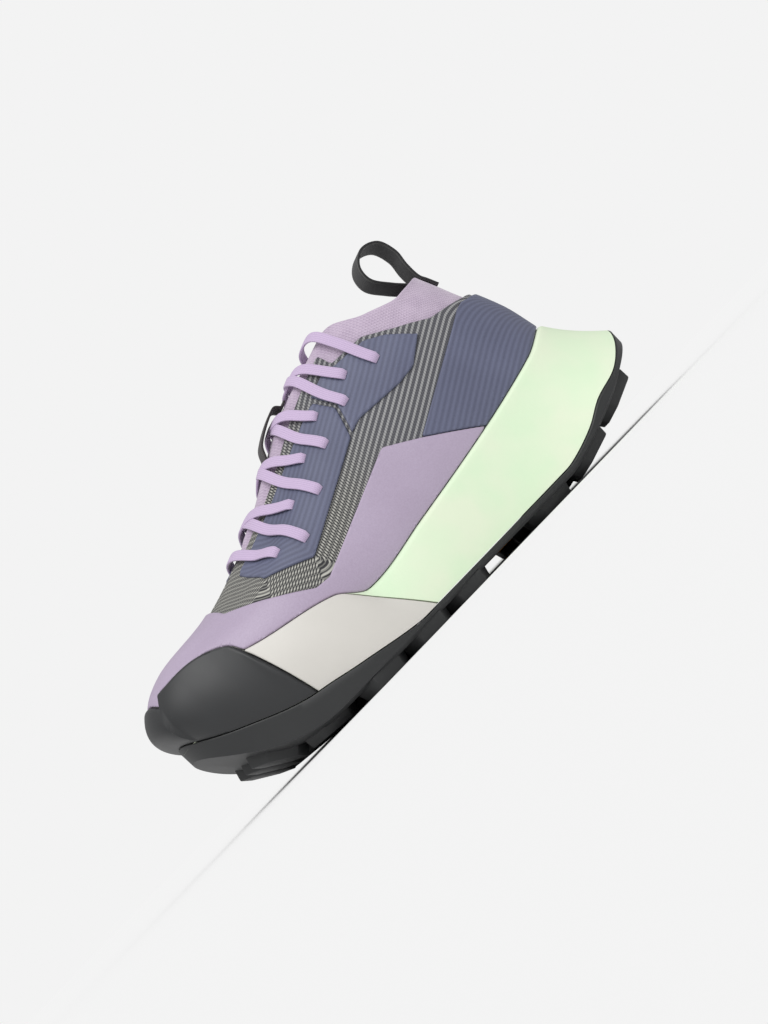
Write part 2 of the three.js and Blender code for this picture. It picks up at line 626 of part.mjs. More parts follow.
// Heel loop: down the outside of the collar, and down its inside
const heelPoint = (up, lift) => {
  const point = offsetSurface(0, up, lift);
  return [point.x, point.z];
};
const loopOuter = sockOuter + 1.5 * fitGap + loopThickness / 2;
const loopInner = sockInner - 5 * fitGap - loopThickness / 2; // clear of the round of the heel
const [rimX, rimZ] = heelPoint(1, 0);
const loopRows = [[1, 7], [0, 15], [3, 23.5], [11, 26], [18, 21], [19, 13], [13, 5]];
const loop = middleBand([
  heelPoint(0.86, loopOuter), heelPoint(0.93, loopOuter), heelPoint(1, loopOuter),
  ...loopRows.map(([x, z]) => [rimX + x, rimZ + z]),
  heelPoint(1, loopInner), heelPoint(0.93, loopInner), heelPoint(0.88, loopInner),
], loopWidth, loopThickness, 30);

// The largest body of a cut, without the slivers that the cut leaves.
function mainBody(body) {
  return body.decompose().reduce((best, piece) => (piece.volume() > best.volume() ? piece : best));
}

const group = new THREE.Group();
group.name = "approach_shoe";
function place(name, body, color, roughness) {
  const material = new THREE.MeshStandardMaterial({ color, roughness, metalness: 0 });
  const mesh = new THREE.Mesh(fromSolid(mainBody(body)), material);
  mesh.name = name;
  group.add(mesh);
}
function placePair(name, body, color, roughness) {
  place(name + "_outer", body.intersect(outerSide), color, roughness);
  place(name + "_inner", body.subtract(outerSide), color, roughness);
}

place("outsole", outsole, 0x2c2d2e, 0.8);
place("sole_inset", inset, 0xd9981f, 0.45);
place("midsole", midsole, 0xd9ecd2, 0.8);
placePair("rand", rands, 0xcfccc7, 0.6);
place("toe_cap", toeCap, 0x2e2f31, 0.6);
place("insole", insole, 0x3a3a3d, 0.95);
place("upper", upper, 0x6a6a72, 0.9);
place("knit_collar", sock, 0xa997b4, 0.95);
place("mudguard", mudguard, 0xab9cb4, 0.75);
place("heel_counter", heelCounter, 0x5c5f73, 0.6);
placePair("eyestay_lower", lowerStays, 0x5c5f73, 0.6);
placePair("eyestay_upper", upperStays, 0x5c5f73, 0.6);
for (const [name, body] of Object.entries(laces)) place(name, body, 0xc3afce, 0.9);
place("lace_keeper", keeper, 0x2b2426, 0.9);
place("heel_loop", loop, 0x1b1b1d, 0.9);

// The origin is the middle of the object's base.
const extent = new THREE.Box3().setFromObject(group);
const middle = extent.getCenter(new THREE.Vector3());
group.position.set(-middle.x, -middle.y, -extent.min.z);

export default group;
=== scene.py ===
"""Approach shoe for the left foot, standing empty on its lugs: shapes, cloth, foam and rubber for Blender.

Shapes are worked out in millimetres from the heel (x), the middle plane (y) and the floor (z), and are turned
into the frame's metres when a mesh is made.
"""

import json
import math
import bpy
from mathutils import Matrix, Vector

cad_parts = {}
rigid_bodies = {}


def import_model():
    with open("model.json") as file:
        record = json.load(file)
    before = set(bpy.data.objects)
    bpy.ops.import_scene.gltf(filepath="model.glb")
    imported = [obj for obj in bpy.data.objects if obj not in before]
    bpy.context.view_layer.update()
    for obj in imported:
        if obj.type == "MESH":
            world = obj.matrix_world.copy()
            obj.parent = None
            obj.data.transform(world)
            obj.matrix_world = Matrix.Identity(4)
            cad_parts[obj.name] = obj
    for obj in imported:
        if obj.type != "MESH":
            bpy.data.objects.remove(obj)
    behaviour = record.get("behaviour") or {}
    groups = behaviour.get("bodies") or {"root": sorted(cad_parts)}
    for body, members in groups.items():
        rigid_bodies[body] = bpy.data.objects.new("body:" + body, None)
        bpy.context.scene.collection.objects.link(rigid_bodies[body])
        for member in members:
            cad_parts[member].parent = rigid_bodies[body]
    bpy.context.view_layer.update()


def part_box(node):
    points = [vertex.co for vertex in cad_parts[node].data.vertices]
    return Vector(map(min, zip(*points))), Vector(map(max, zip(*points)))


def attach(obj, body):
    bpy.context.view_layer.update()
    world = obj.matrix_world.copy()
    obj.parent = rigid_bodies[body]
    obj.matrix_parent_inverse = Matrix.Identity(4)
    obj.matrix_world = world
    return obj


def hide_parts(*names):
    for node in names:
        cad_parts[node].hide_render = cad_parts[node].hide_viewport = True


bl_info = {
    "name": "Approach shoe",
    "version": (1, 0, 0),
    "blender": (4, 5, 0),
    "location": "View3D > Sidebar > Shoe",
    "description": "Builds a knitted and woven approach shoe around its solid model",
    "category": "Object",
}

import bmesh
import bpy
import numpy as np
from mathutils import Matrix, Vector
from mathutils.bvhtree import BVHTree

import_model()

# The middle of the oval inset is on the middle plane, at this share of the shoe's length from the heel.
INSET_AT = 0.42
PROBE_RISE = 0.18  # where a section's middle lies, as a rise over the footbed
LENGTH = 275.0  # heel flare to toe bumper
BALL = 102.0  # sole across the ball of the foot
TONGUE = 100.0  # peak of the tongue above the footbed
inset_low, inset_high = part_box("sole_inset")
SHIFT = np.array([
    (inset_low[0] + inset_high[0]) / 2 - INSET_AT * LENGTH / 1000,
    (inset_low[1] + inset_high[1]) / 2,
    0.0,
])

FIT_GAP = 0.3  # between pieces that meet
UPPER_WALL = 1.6
SOCK_OUTER = -2.2  # the knitted sock inside the shell, as distances from the last
SOCK_INNER = -4.0
FILM_TOP = 1.2
COVER = 2.2  # rands and toe cap
RIM = COVER + 0.2
LUG_DEPTH = 4.5
LUG_LENGTH = 25.0
LUG_FLARE = 3.0  # how much wider a lug is at its root
LUG_ROOT = 1.2  # how far a lug reaches into the rubber above it
EDGE_STAND = 0.6  # how far the outsole stands out past the midsole
EDGE_RISE = 1.4  # height of its slanted lower edge

# Rocker of the sole: rise, share of the length where it begins, and how late it comes
TOE_SPRING, TOE_BREAK, TOE_CURVE = 33.0, 0.8, 2.2
HEEL_BEVEL, HEEL_BREAK, HEEL_CURVE = 27.0, 0.28, 1.3
TOE_SWAY, SWAY_FROM = -0.07, 0.45  # lean of the toe, and where it begins

# Sections of the last, from the footbed to the collar: where they begin and end, as shares of the length,
# half widths at the heel, waist, ball and toe, as shares of the ball width, how much of them rounds off at
# each end, and heights over the footbed, as shares of the tongue's.
RING_KEYS = ("back", "front", "heel", "waist_out", "waist_in", "ball", "toe", "heel_arc", "toe_arc",
             "rise_heel", "rise_arch", "rise_ball", "rise_toe")
LAST_RINGS = [dict(zip(RING_KEYS, row)) for row in [
    (0.1, 0.955, 0.29, 0.33, 0.28, 0.41, 0.36, 0.14, 0.32, 0, 0, 0, 0),
    (0.086, 0.983, 0.325, 0.365, 0.325, 0.45, 0.4, 0.15, 0.32, 0.1, 0.085, 0.09, 0.08),
    (0.084, 0.986, 0.335, 0.375, 0.345, 0.455, 0.41, 0.16, 0.33, 0.2, 0.17, 0.19, 0.16),
    (0.088, 0.972, 0.33, 0.37, 0.35, 0.43, 0.38, 0.17, 0.34, 0.28, 0.26, 0.28, 0.23),
    (0.096, 0.93, 0.32, 0.355, 0.345, 0.38, 0.32, 0.18, 0.36, 0.38, 0.365, 0.38, 0.3),
    (0.11, 0.81, 0.305, 0.325, 0.32, 0.31, 0.26, 0.2, 0.38, 0.48, 0.475, 0.51, 0.43),
    (0.128, 0.66, 0.29, 0.295, 0.29, 0.25, 0.22, 0.25, 0.4, 0.59, 0.58, 0.64, 0.63),
    (0.145, 0.51, 0.28, 0.275, 0.275, 0.225, 0.2, 0.34, 0.44, 0.7, 0.67, 0.74, 0.83),
    (0.158, 0.365, 0.26, 0.265, 0.265, 0.25, 0.22, 0.5, 0.5, 0.78, 0.76, 0.84, 0.96),
]]
SOLE_RING = dict(zip(RING_KEYS, (0, 0.985, 0.405, 0.385, 0.33, 0.515, 0.475, 0.15, 0.32, 0, 0, 0, 0)))
HEEL_AT, WAIST_AT, BALL_AT, TOE_AT = 0.15, 0.42, 0.72, 0.9

# Heights by share of the length: the footbed over the floor, the outsole's seam over the lug faces, and the
# top edge of the sole's side over the floor. Then how far that side bulges, and how far the outsole's
# underside lies in from the seam.
FOOTBED_ROWS = [(0.12, 40), (0.42, 32), (0.66, 26), (0.8, 30), (0.97, 40)]
SEAM_ROWS = [(0, 13), (0.05, 10), (0.1, 8.5), (0.16, 10.5), (0.205, 8.5), (0.27, 7.8), (0.58, 7.5),
             (0.64, 7.5), (0.75, 13), (0.815, 17), (0.9, 19), (1, 14)]
RIM_LINE = [(0.085, 62), (0.18, 54), (0.32, 45.5), (0.51, 37), (0.65, 32), (0.7, 40), (0.84, 50),
            (0.85, 55.3), (0.87, 59.5), (0.895, 62), (0.92, 63), (0.955, 63), (0.975, 63.5), (0.99, 120)]
BAND_BULGE = [(0.03, -1.5), (0.4, 0.5), (0.75, 2), (0.93, 4), (0.98, 6)]
UNDERSIDE_INSET = [(0, 7), (0.12, 3), (0.3, 2.2), (0.7, 2.2), (0.85, 6), (0.98, 13)]
RAND_BACK = [(0.59, 6), (0.665, 31)]  # slanted joint of midsole and rand, share of length and height
CAP_BACK = [(0.815, 17), (0.848, 54)]  # slanted joint of rand and toe cap
THROAT = [(0.715, 6), (0.58, 11), (0.38, 15), (0.2, 15)]  # share of length and half width

# Outlines in the side view, as shares of the length and rises over the footbed.
COLLAR_LINE = [(-0.4, 0.54), (0.16, 0.55), (0.24, 0.59), (0.29, 0.68), (0.34, 0.78), (0.4, 0.81), (0.42, 1.6),
               (-0.4, 1.6)]
GUARD = [(0.276, -0.4), (0.276, -0.06), (0.32, 0.11), (0.41, 0.29), (0.468, 0.395), (0.681, 0.206),
         (0.708, 0.207), (0.754, 0.279), (0.81, 0.365), (0.816, 0.7), (1.09, 0.7), (1.09, -0.4)]
COUNTER = [(-0.1, -0.4), (0.36, -0.35), (0.415, 0.285), (0.196, 0.524), (0.131, 0.562), (-0.1, 0.58)]
LOWER_STAY = [(0.74, 0.38), (0.672, 0.309), (0.484, 0.526), (0.458, 0.66), (0.51, 1.1), (0.78, 1.1)]
UPPER_STAY = [(0.476, 0.534), (0.451, 0.549), (0.364, 0.513), (0.325, 0.513), (0.278, 0.585), (0.345, 0.8),
              (0.407, 0.9), (0.5, 1.1), (0.451, 0.669)]

# Lace holes from the top of the throat down: outer and inner ones as share of the length and rise.
LACE_HOLES = [
    ((0.355, 0.631), (0.406, 0.695)),
    ((0.443, 0.618), (0.487, 0.681)),
    ((0.518, 0.571), (0.554, 0.609)),
    ((0.585, 0.469), (0.625, 0.519)),
    ((0.658, 0.378), (0.701, 0.419)),
]
LACE_WIDTH = 5.0
LACE_THICK = 1.25
LACE_LIFT = 2.65  # middle of a lace over the last
TONGUE_PADDING = 2.9  # how far the tongue swells in the throat
LACE_BOW = 8.0  # how far a crossing's middle sits toward the toe

# Rows of lugs: share of the length, how many, how much of the sole they span, width and shape
LUG_ROWS = [
    (0.905, 3, 0.5, 15, "hexagon"),
    (0.82, 3, 0.62, 17, "hexagon"),
    (0.725, 4, 0.78, 18, "hexagon"),
    (0.63, 4, 0.78, 17, "hexagon"),
    (0.535, 4, 0.76, 16, "hexagon"),
    (0.332, 3, 0.64, 15, "chevron"),
    (0.22, 3, 0.66, 17, "chevron"),
    (0.115, 3, 0.62, 17, "chevron"),
]
LUG_OUTLINES = {
    "hexagon": [(-0.5, 0), (-0.26, -0.5), (0.26, -0.5), (0.5, 0), (0.26, 0.5), (-0.26, 0.5)],
    "chevron": [(-0.18, 0), (-0.42, -0.5), (0.2, -0.5), (0.46, -0.18), (0.46, 0.18), (0.2, 0.5),
                (-0.42, 0.5)],
}


# Lines and surfaces of the last

def along(rows, place):
    """A smooth line through rows of place and value."""
    rows = np.asarray(rows, float)
    places, values = rows[:, 0], rows[:, 1]
    slopes = np.zeros(len(places))
    slopes[1:-1] = (values[2:] - values[:-2]) / (places[2:] - places[:-2])
    place = np.clip(place, places[0], places[-1])
    i = np.clip(np.searchsorted(places, place, side="left") - 1, 0, len(places) - 2)
    width = places[i + 1] - places[i]
    t = (place - places[i]) / width
    t2, t3 = t * t, t * t * t
    return (values[i] * (2 * t3 - 3 * t2 + 1) + slopes[i] * width * (t3 - 2 * t2 + t)
            + values[i + 1] * (3 * t2 - 2 * t3) + slopes[i + 1] * width * (t3 - t2))


def footbed(x):
    return along(FOOTBED_ROWS, np.asarray(x) / LENGTH)


def rocker(x):
    """Height of the lug faces over the floor."""
    share = np.asarray(x, float) / LENGTH
    toe = np.maximum(0, (share - TOE_BREAK) / (1 - TOE_BREAK))
    heel = np.maximum(0, (HEEL_BREAK - share) / HEEL_BREAK)
    return TOE_SPRING * toe ** TOE_CURVE + HEEL_BEVEL * heel ** HEEL_CURVE


def seam_height(x):
    return rocker(x) + along(SEAM_ROWS, np.asarray(x) / LENGTH)


def sway(x):
    t = np.clip((x / LENGTH - SWAY_FROM) / (1 - SWAY_FROM), 0, 1)
    return TOE_SWAY * BALL * t * t * (3 - 2 * t)


def half_width(ring, share, outer):
    inner_rows = [(HEEL_AT, ring["heel"]), (WAIST_AT, ring["waist_in"]), (BALL_AT, ring["ball"]),
                  (TOE_AT, ring["toe"])]
    outer_rows = [inner_rows[0], (WAIST_AT, ring["waist_out"]), *inner_rows[2:]]
    into_heel = np.maximum(0, 1 - share / ring["heel_arc"])
    into_toe = np.maximum(0, (share - 1 + ring["toe_arc"]) / ring["toe_arc"])
    ends = np.sqrt(1 - into_heel ** 2) * np.maximum(0, 1 - into_toe ** 2.3) ** (1 / 2.3)
    return np.where(outer, along(outer_rows, share), along(inner_rows, share)) * ends * BALL


def ring_plan(ring, turn):
    """A ring's points in plan: turn runs from the heel along the inner side to the toe, and back."""
    turn = np.mod(turn, 1.0)
    share = (1 - np.cos(turn * 2 * np.pi)) / 2
    x = (ring["back"] + share * (ring["front"] - ring["back"])) * LENGTH
    side = np.where(turn > 0.5, 1.0, -1.0)
    return np.stack([x, side * half_width(ring, share, turn > 0.5) + sway(x), np.zeros_like(x)], -1)


def ring_points(ring, turn):
    points = ring_plan(ring, turn)
    share = (1 - np.cos(np.mod(turn, 1.0) * 2 * np.pi)) / 2
    rows = [(0, ring["rise_heel"]), (WAIST_AT, ring["rise_arch"]), (BALL_AT, ring["rise_ball"]),
            (1, ring["rise_toe"])]
    points[..., 2] = footbed(points[..., 0]) + along(rows, share) * TONGUE
    return points


def last_surface(turn, up):
    """The last's surface: round the foot, and up from the footbed (0) to the collar (1)."""
    turn, up = np.broadcast_arrays(np.asarray(turn, float), np.asarray(up, float))
    shape = turn.shape
    turn, up = turn.ravel(), up.ravel()
    rings = np.stack([ring_points(ring, turn) for ring in LAST_RINGS])
    place = np.clip(up, 0, 1) * (len(rings) - 1)
    i = np.minimum(place.astype(int), len(rings) - 2)
    t = (place - i)[:, None]
    padded = np.concatenate([2 * rings[:1] - rings[1:2], rings, 2 * rings[-1:] - rings[-2:-1]])
    each = np.arange(len(turn))
    p0, p1, p2, p3 = (padded[i + k, each] for k in range(4))
    d0, d1, d2 = (np.maximum(np.sum((b - a) ** 2, -1), 1e-12)[:, None] ** 0.25
                  for a, b in ((p0, p1), (p1, p2), (p2, p3)))
    t1 = ((p1 - p0) / d0 - (p2 - p0) / (d0 + d1) + (p2 - p1) / d1) * d1
    t2 = ((p2 - p1) / d1 - (p3 - p1) / (d1 + d2) + (p3 - p2) / d2) * d1
    c2 = -3 * p1 + 3 * p2 - 2 * t1 - t2
    c3 = 2 * p1 - 2 * p2 + t1 + t2
    return (p1 + t1 * t + c2 * t * t + c3 * t ** 3).reshape(*shape, 3)


def last_normal(turn, up):
    small = 0.004
    turn, up = np.broadcast_arrays(np.asarray(turn, float), np.asarray(up, float))
    around = last_surface(turn + small, up) - last_surface(turn - small, up)
    rise = last_surface(turn, np.minimum(1, up + small)) - last_surface(turn, np.maximum(0, up - small))
    normal = np.cross(around, rise)
    return normal / np.linalg.norm(normal, axis=-1, keepdims=True)


def offset_surface(turn, up, distance):
    distance = np.asarray(distance, float)[..., None]
    return last_surface(turn, up) + last_normal(turn, up) * distance


def find_up(turn, test):
    """The share up each line of the last at which a test of its points first fails."""
    low = np.zeros_like(turn)
    high = np.ones_like(turn)
    for _ in range(24):
        middle = (low + high) / 2
        below = test(last_surface(turn, middle))
        low = np.where(below, middle, low)
        high = np.where(below, high, middle)
    return low


def rim_up(turn):
    return find_up(turn, lambda p: p[..., 2] < along(RIM_LINE, p[..., 0] / LENGTH))


def plain_ring(ring, turn, distance, height):
    points = ring_plan(ring, turn)
    around = ring_plan(ring, turn + 0.002) - ring_plan(ring, turn - 0.002)
    outward = np.stack([around[..., 1], -around[..., 0], np.zeros_like(around[..., 0])], -1)
    outward /= np.linalg.norm(outward, axis=-1, keepdims=True)
    points = points + outward * np.asarray(distance, float)[..., None]
    points[..., 2] = height(points[..., 0])
    return points


def sole_band(turn, share, inset):
    """The side of the sole, from the seam (0) up to its rim on the upper (1), moved in by an inset."""
    turn, share, inset = np.broadcast_arrays(np.asarray(turn, float), share, inset)
    low = plain_ring(SOLE_RING, turn, -inset, lambda x: seam_height(x) + 1.5 * FIT_GAP)
    high = offset_surface(turn, rim_up(turn), RIM - inset)
    step = 1 / 48
    around = (plain_ring(SOLE_RING, turn + step, -inset, seam_height)
              - plain_ring(SOLE_RING, turn - step, -inset, seam_height))
    outward = np.stack([around[..., 1], -around[..., 0], np.zeros_like(around[..., 0])], -1)
    outward /= np.linalg.norm(outward, axis=-1, keepdims=True)
    bulge = along(BAND_BULGE, low[..., 0] / LENGTH)
    t = share[..., None]
    return low + (high - low) * t + outward * (4 * t * (1 - t) * bulge[..., None])


def side_view(rows):
    """Points of the side view, in millimetres, from shares of the length and rises over the footbed."""
    return np.array([(share * LENGTH, footbed(share * LENGTH) + rise * TONGUE) for share, rise in rows])


def distance_inside(outline, across, upward):
    """How far inside a closed outline each point of the side view lies; negative outside it."""
    outline = np.asarray(outline, float)
    nearest = np.full(across.shape, 1e9)
    inside = np.zeros(across.shape, bool)
    for (ax, az), (bx, bz) in zip(outline, np.roll(outline, -1, axis=0)):
        dx, dz = bx - ax, bz - az
        t = np.clip(((across - ax) * dx + (upward - az) * dz) / (dx * dx + dz * dz), 0, 1)
        nearest = np.minimum(nearest, np.hypot(across - ax - t * dx, upward - az - t * dz))
        if dz:
            crosses = ((az > upward) != (bz > upward)) & (across < ax + (upward - az) * dx / dz)
            inside ^= crosses
    return np.where(inside, nearest, -nearest)


def ahead_of(line, x, z):
    """How far in front of a slanted joint each point lies."""
    (s0, z0), (s1, z1) = line
    dx, dz = (s1 - s0) * LENGTH, z1 - z0
    return ((x - s0 * LENGTH) * dz - (z - z0) * dx) / math.hypot(dx, dz)


# Sheets: a grid of turns and heights, cut along lines, each point with its own values

def make_sheet(columns, rows, surface, low=0.0, high=1.0):
    """Columns and rows of a surface, as split quads, with the first column met again at the end."""
    turn = np.linspace(0, 1, columns + 1)[:, None] * np.ones(rows + 1)
    up = np.ones(columns + 1)[:, None] * np.linspace(low, high, rows + 1)
    points = surface(turn, up)
    points[-1] = points[0]
    index = np.arange(turn.size).reshape(turn.shape)
    a, b, c, d = index[:-1, :-1], index[1:, :-1], index[1:, 1:], index[:-1, 1:]
    faces = np.concatenate([np.stack([a, b, c], -1).reshape(-1, 3), np.stack([a, c, d], -1).reshape(-1, 3)])
    return {"turn": turn, "up": up, "points": points, "faces": faces}


def surface_distance(sheet, field):
    """A distance drawn in the side view or in plan, turned into distance along the sheet."""
    points = sheet["points"]
    around = np.roll(points[:-1], -1, 0) - np.roll(points[:-1], 1, 0)
    field_around = np.roll(field[:-1], -1, 0) - np.roll(field[:-1], 1, 0)
    rise = np.gradient(points[:-1], axis=1) * 2
    field_rise = np.gradient(field[:-1], axis=1) * 2
    aa, ab, bb = (np.sum(p * q, -1) for p, q in ((around, around), (around, rise), (rise, rise)))
    spread = np.maximum(aa * bb - ab * ab, 1e-9)
    steep = (bb * field_around ** 2 - 2 * ab * field_around * field_rise + aa * field_rise ** 2) / spread
    steep = np.clip(np.sqrt(np.maximum(steep, 0)), 0.3, 1)
    steep = np.concatenate([steep, steep[:1]])
    return field / steep


def cut(values, faces, level, keep_below=False):
    """Splits faces where the first value crosses a level; the side below it is dropped, or kept as well."""
    field = values[:, 0].copy()
    field[np.abs(field - level) < 0.02] = level
    values = values.copy()
    values[:, 0] = field
    above = field[faces] >= level
    count = above.sum(1)
    kept = [faces[count == 3]]
    if keep_below:
        kept.append(faces[count == 0])
    extra = []
    made = {}

    def crossing(low, high):
        key = (low, high) if low < high else (high, low)
        if key not in made:
            f0, f1 = field[key[0]], field[key[1]]
            t = (level - f0) / (f1 - f0)
            row = values[key[0]] * (1 - t) + values[key[1]] * t
            row[0] = level
            made[key] = len(values) + len(extra)
            extra.append(row)
        return made[key]

    new_faces = []
    for face, up in zip(faces[(count == 1) | (count == 2)], above[(count == 1) | (count == 2)]):
        odd = int(np.flatnonzero(up if up.sum() == 1 else ~up)[0])
        a, b, c = (int(face[(odd + k) % 3]) for k in range(3))
        ab, ac = crossing(a, b), crossing(a, c)
        tip, base = [(a, ab, ac)], [(ab, b, c), (ab, c, ac)]
        if up.sum() == 1:
            new_faces += tip
            if keep_below:
                new_faces += base
        else:
            new_faces += base
            if keep_below:
                new_faces += tip
    if new_faces:
        kept.append(np.array(new_faces))
    faces = np.concatenate(kept)
    if extra:
        values = np.concatenate([values, np.array(extra)])
    good = (faces[:, 0] != faces[:, 1]) & (faces[:, 1] != faces[:, 2]) & (faces[:, 0] != faces[:, 2])
    return values, faces[good]


def cut_sheet(sheet, field, levels):
    """The part of a sheet where a distance is above nought, with rows of points at the given distances."""
    values = np.stack([field.ravel(), sheet["turn"].ravel(), sheet["up"].ravel()], -1)
    values, faces = cut(values, sheet["faces"], 0.0)
    for level in levels:
        values, faces = cut(values, faces, level, keep_below=True)
    used = np.unique(faces)
    fresh = np.full(len(values), -1)
    fresh[used] = np.arange(len(used))
    values, faces = values[used], fresh[faces]
    left = np.flatnonzero(values[:, 1] < 1e-9)
    right = np.flatnonzero(values[:, 1] > 1 - 1e-9)
    if len(left) and len(left) == len(right):
        left = left[np.argsort(values[left, 2])]
        right = right[np.argsort(values[right, 2])]
        weld = np.arange(len(values))
        weld[right] = left
        faces = weld[faces]
        used = np.unique(faces)
        fresh = np.full(len(values), -1)
        fresh[used] = np.arange(len(used))
        values, faces = values[used], fresh[faces]
    return {"edge": values[:, 0], "turn": values[:, 1], "up": values[:, 2], "faces": faces}


def close_sheet(outside, inside, faces):
    """Two copies of a sheet's points, with its faces on both and a wall along its edges."""
    count = len(outside)
    edges = np.concatenate([faces[:, [0, 1]], faces[:, [1, 2]], faces[:, [2, 0]]])
    whole = {tuple(edge) for edge in edges.tolist()}
    rim = np.array([edge for edge in edges.tolist() if (edge[1], edge[0]) not in whole])
    polygons = faces.tolist() + (faces[:, ::-1] + count).tolist()
    if len(rim):
        polygons += np.stack([rim[:, 1], rim[:, 0], rim[:, 0] + count, rim[:, 1] + count], -1).tolist()
    return np.concatenate([outside, inside]), polygons


def ring_quads(rings, joined=False):
    """Quads between rings that follow each other, and from the last one back to the first when joined."""
    count = len(rings[0])
    polygons = []
    for i in range(len(rings) if joined else len(rings) - 1):
        low, high = i * count, ((i + 1) % len(rings)) * count
        for j in range(count):
            after = (j + 1) % count
            polygons.append((low + j, low + after, high + after, high + j))
    return polygons


def loft(rings):
    """A closed skin over rings, with ladders of quads across the first and the last."""
    count = len(rings[0])
    polygons = ring_quads(rings)
    top = (len(rings) - 1) * count
    for j in range(count // 2):
        far, far_after = (count - j) % count, count - j - 1
        lower = [j, far, far_after, j + 1]
        upper = [top + j, top + j + 1, top + far_after, top + far]
        for corners in (lower, upper):
            unique = list(dict.fromkeys(corners))
            if len(unique) > 2:
                polygons.append(tuple(unique))
    return np.concatenate(rings), polygons


def sweep(stations, profile):
    """A closed band: a profile carried along stations of middle, across, through and size."""
    rings = []
    for middle, across, through, wide, thick in stations:
        rings.append(np.array([middle + across * (u * wide) + through * (v * thick) for u, v in profile]))
    count = len(profile)
    polygons = ring_quads(rings)
    top = (len(rings) - 1) * count
    polygons.append(tuple(range(count - 1, -1, -1)))
    polygons.append(tuple(range(top, top + count)))
    return np.concatenate(rings), polygons


# Meshes

def clear_selection():
    if bpy.context.object and bpy.context.object.mode != "OBJECT":
        bpy.ops.object.mode_set(mode="OBJECT")
    for item in bpy.context.view_layer.objects:
        item.select_set(False)


def make_active(item):
    clear_selection()
    bpy.context.view_layer.objects.active = item
    item.select_set(True)


def new_piece(name, points, polygons, smooth=True):
    """A mesh object from points in millimetres from the heel."""
    mesh = bpy.data.meshes.new(name)
    mesh.from_pydata((np.asarray(points) / 1000 + SHIFT).tolist(), [], polygons)
    mesh.update()
    piece = bpy.data.objects.new(name, mesh)
    bpy.context.scene.collection.objects.link(piece)
    if smooth:
        mesh.polygons.foreach_set("use_smooth", [True] * len(mesh.polygons))
    return piece


def face_outward(piece):
    """Merges doubles and turns a closed mesh's faces outwards."""
    work = bmesh.new()
    work.from_mesh(piece.data)
    bmesh.ops.remove_doubles(work, verts=work.verts, dist=1e-7)
    bmesh.ops.dissolve_degenerate(work, edges=work.edges, dist=1e-7)
    if work.calc_volume(signed=True) < 0:
        bmesh.ops.reverse_faces(work, faces=work.faces)
    work.to_mesh(piece.data)
    work.free()
    piece.data.update()


def smooth_by_angle(piece, degrees):
    make_active(piece)
    bpy.ops.object.shade_smooth_by_angle(angle=math.radians(degrees))


def combine(piece, tool, operation):
    """Joins or cuts a piece with a tool that is then removed."""
    make_active(piece)
    modifier = piece.modifiers.new("combine", "BOOLEAN")
    modifier.operation = operation
    modifier.solver = "MANIFOLD"
    modifier.object = tool
    bpy.ops.object.modifier_apply(modifier=modifier.name)
    bpy.data.objects.remove(tool, do_unlink=True)


def keep_places(piece, name, values):
    """Stores a vector at each point, for a pattern that follows the surface."""
    layer = piece.data.attributes.new(name, "FLOAT_VECTOR", "POINT")
    layer.data.foreach_set("vector", np.asarray(values, float).ravel())


def finish_piece(piece, material, nodes):
    piece.data.materials.clear()
    piece.data.materials.append(material)
    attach(piece, "root")
    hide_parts(*nodes)


# Places over the last, by rays from the middle of each section

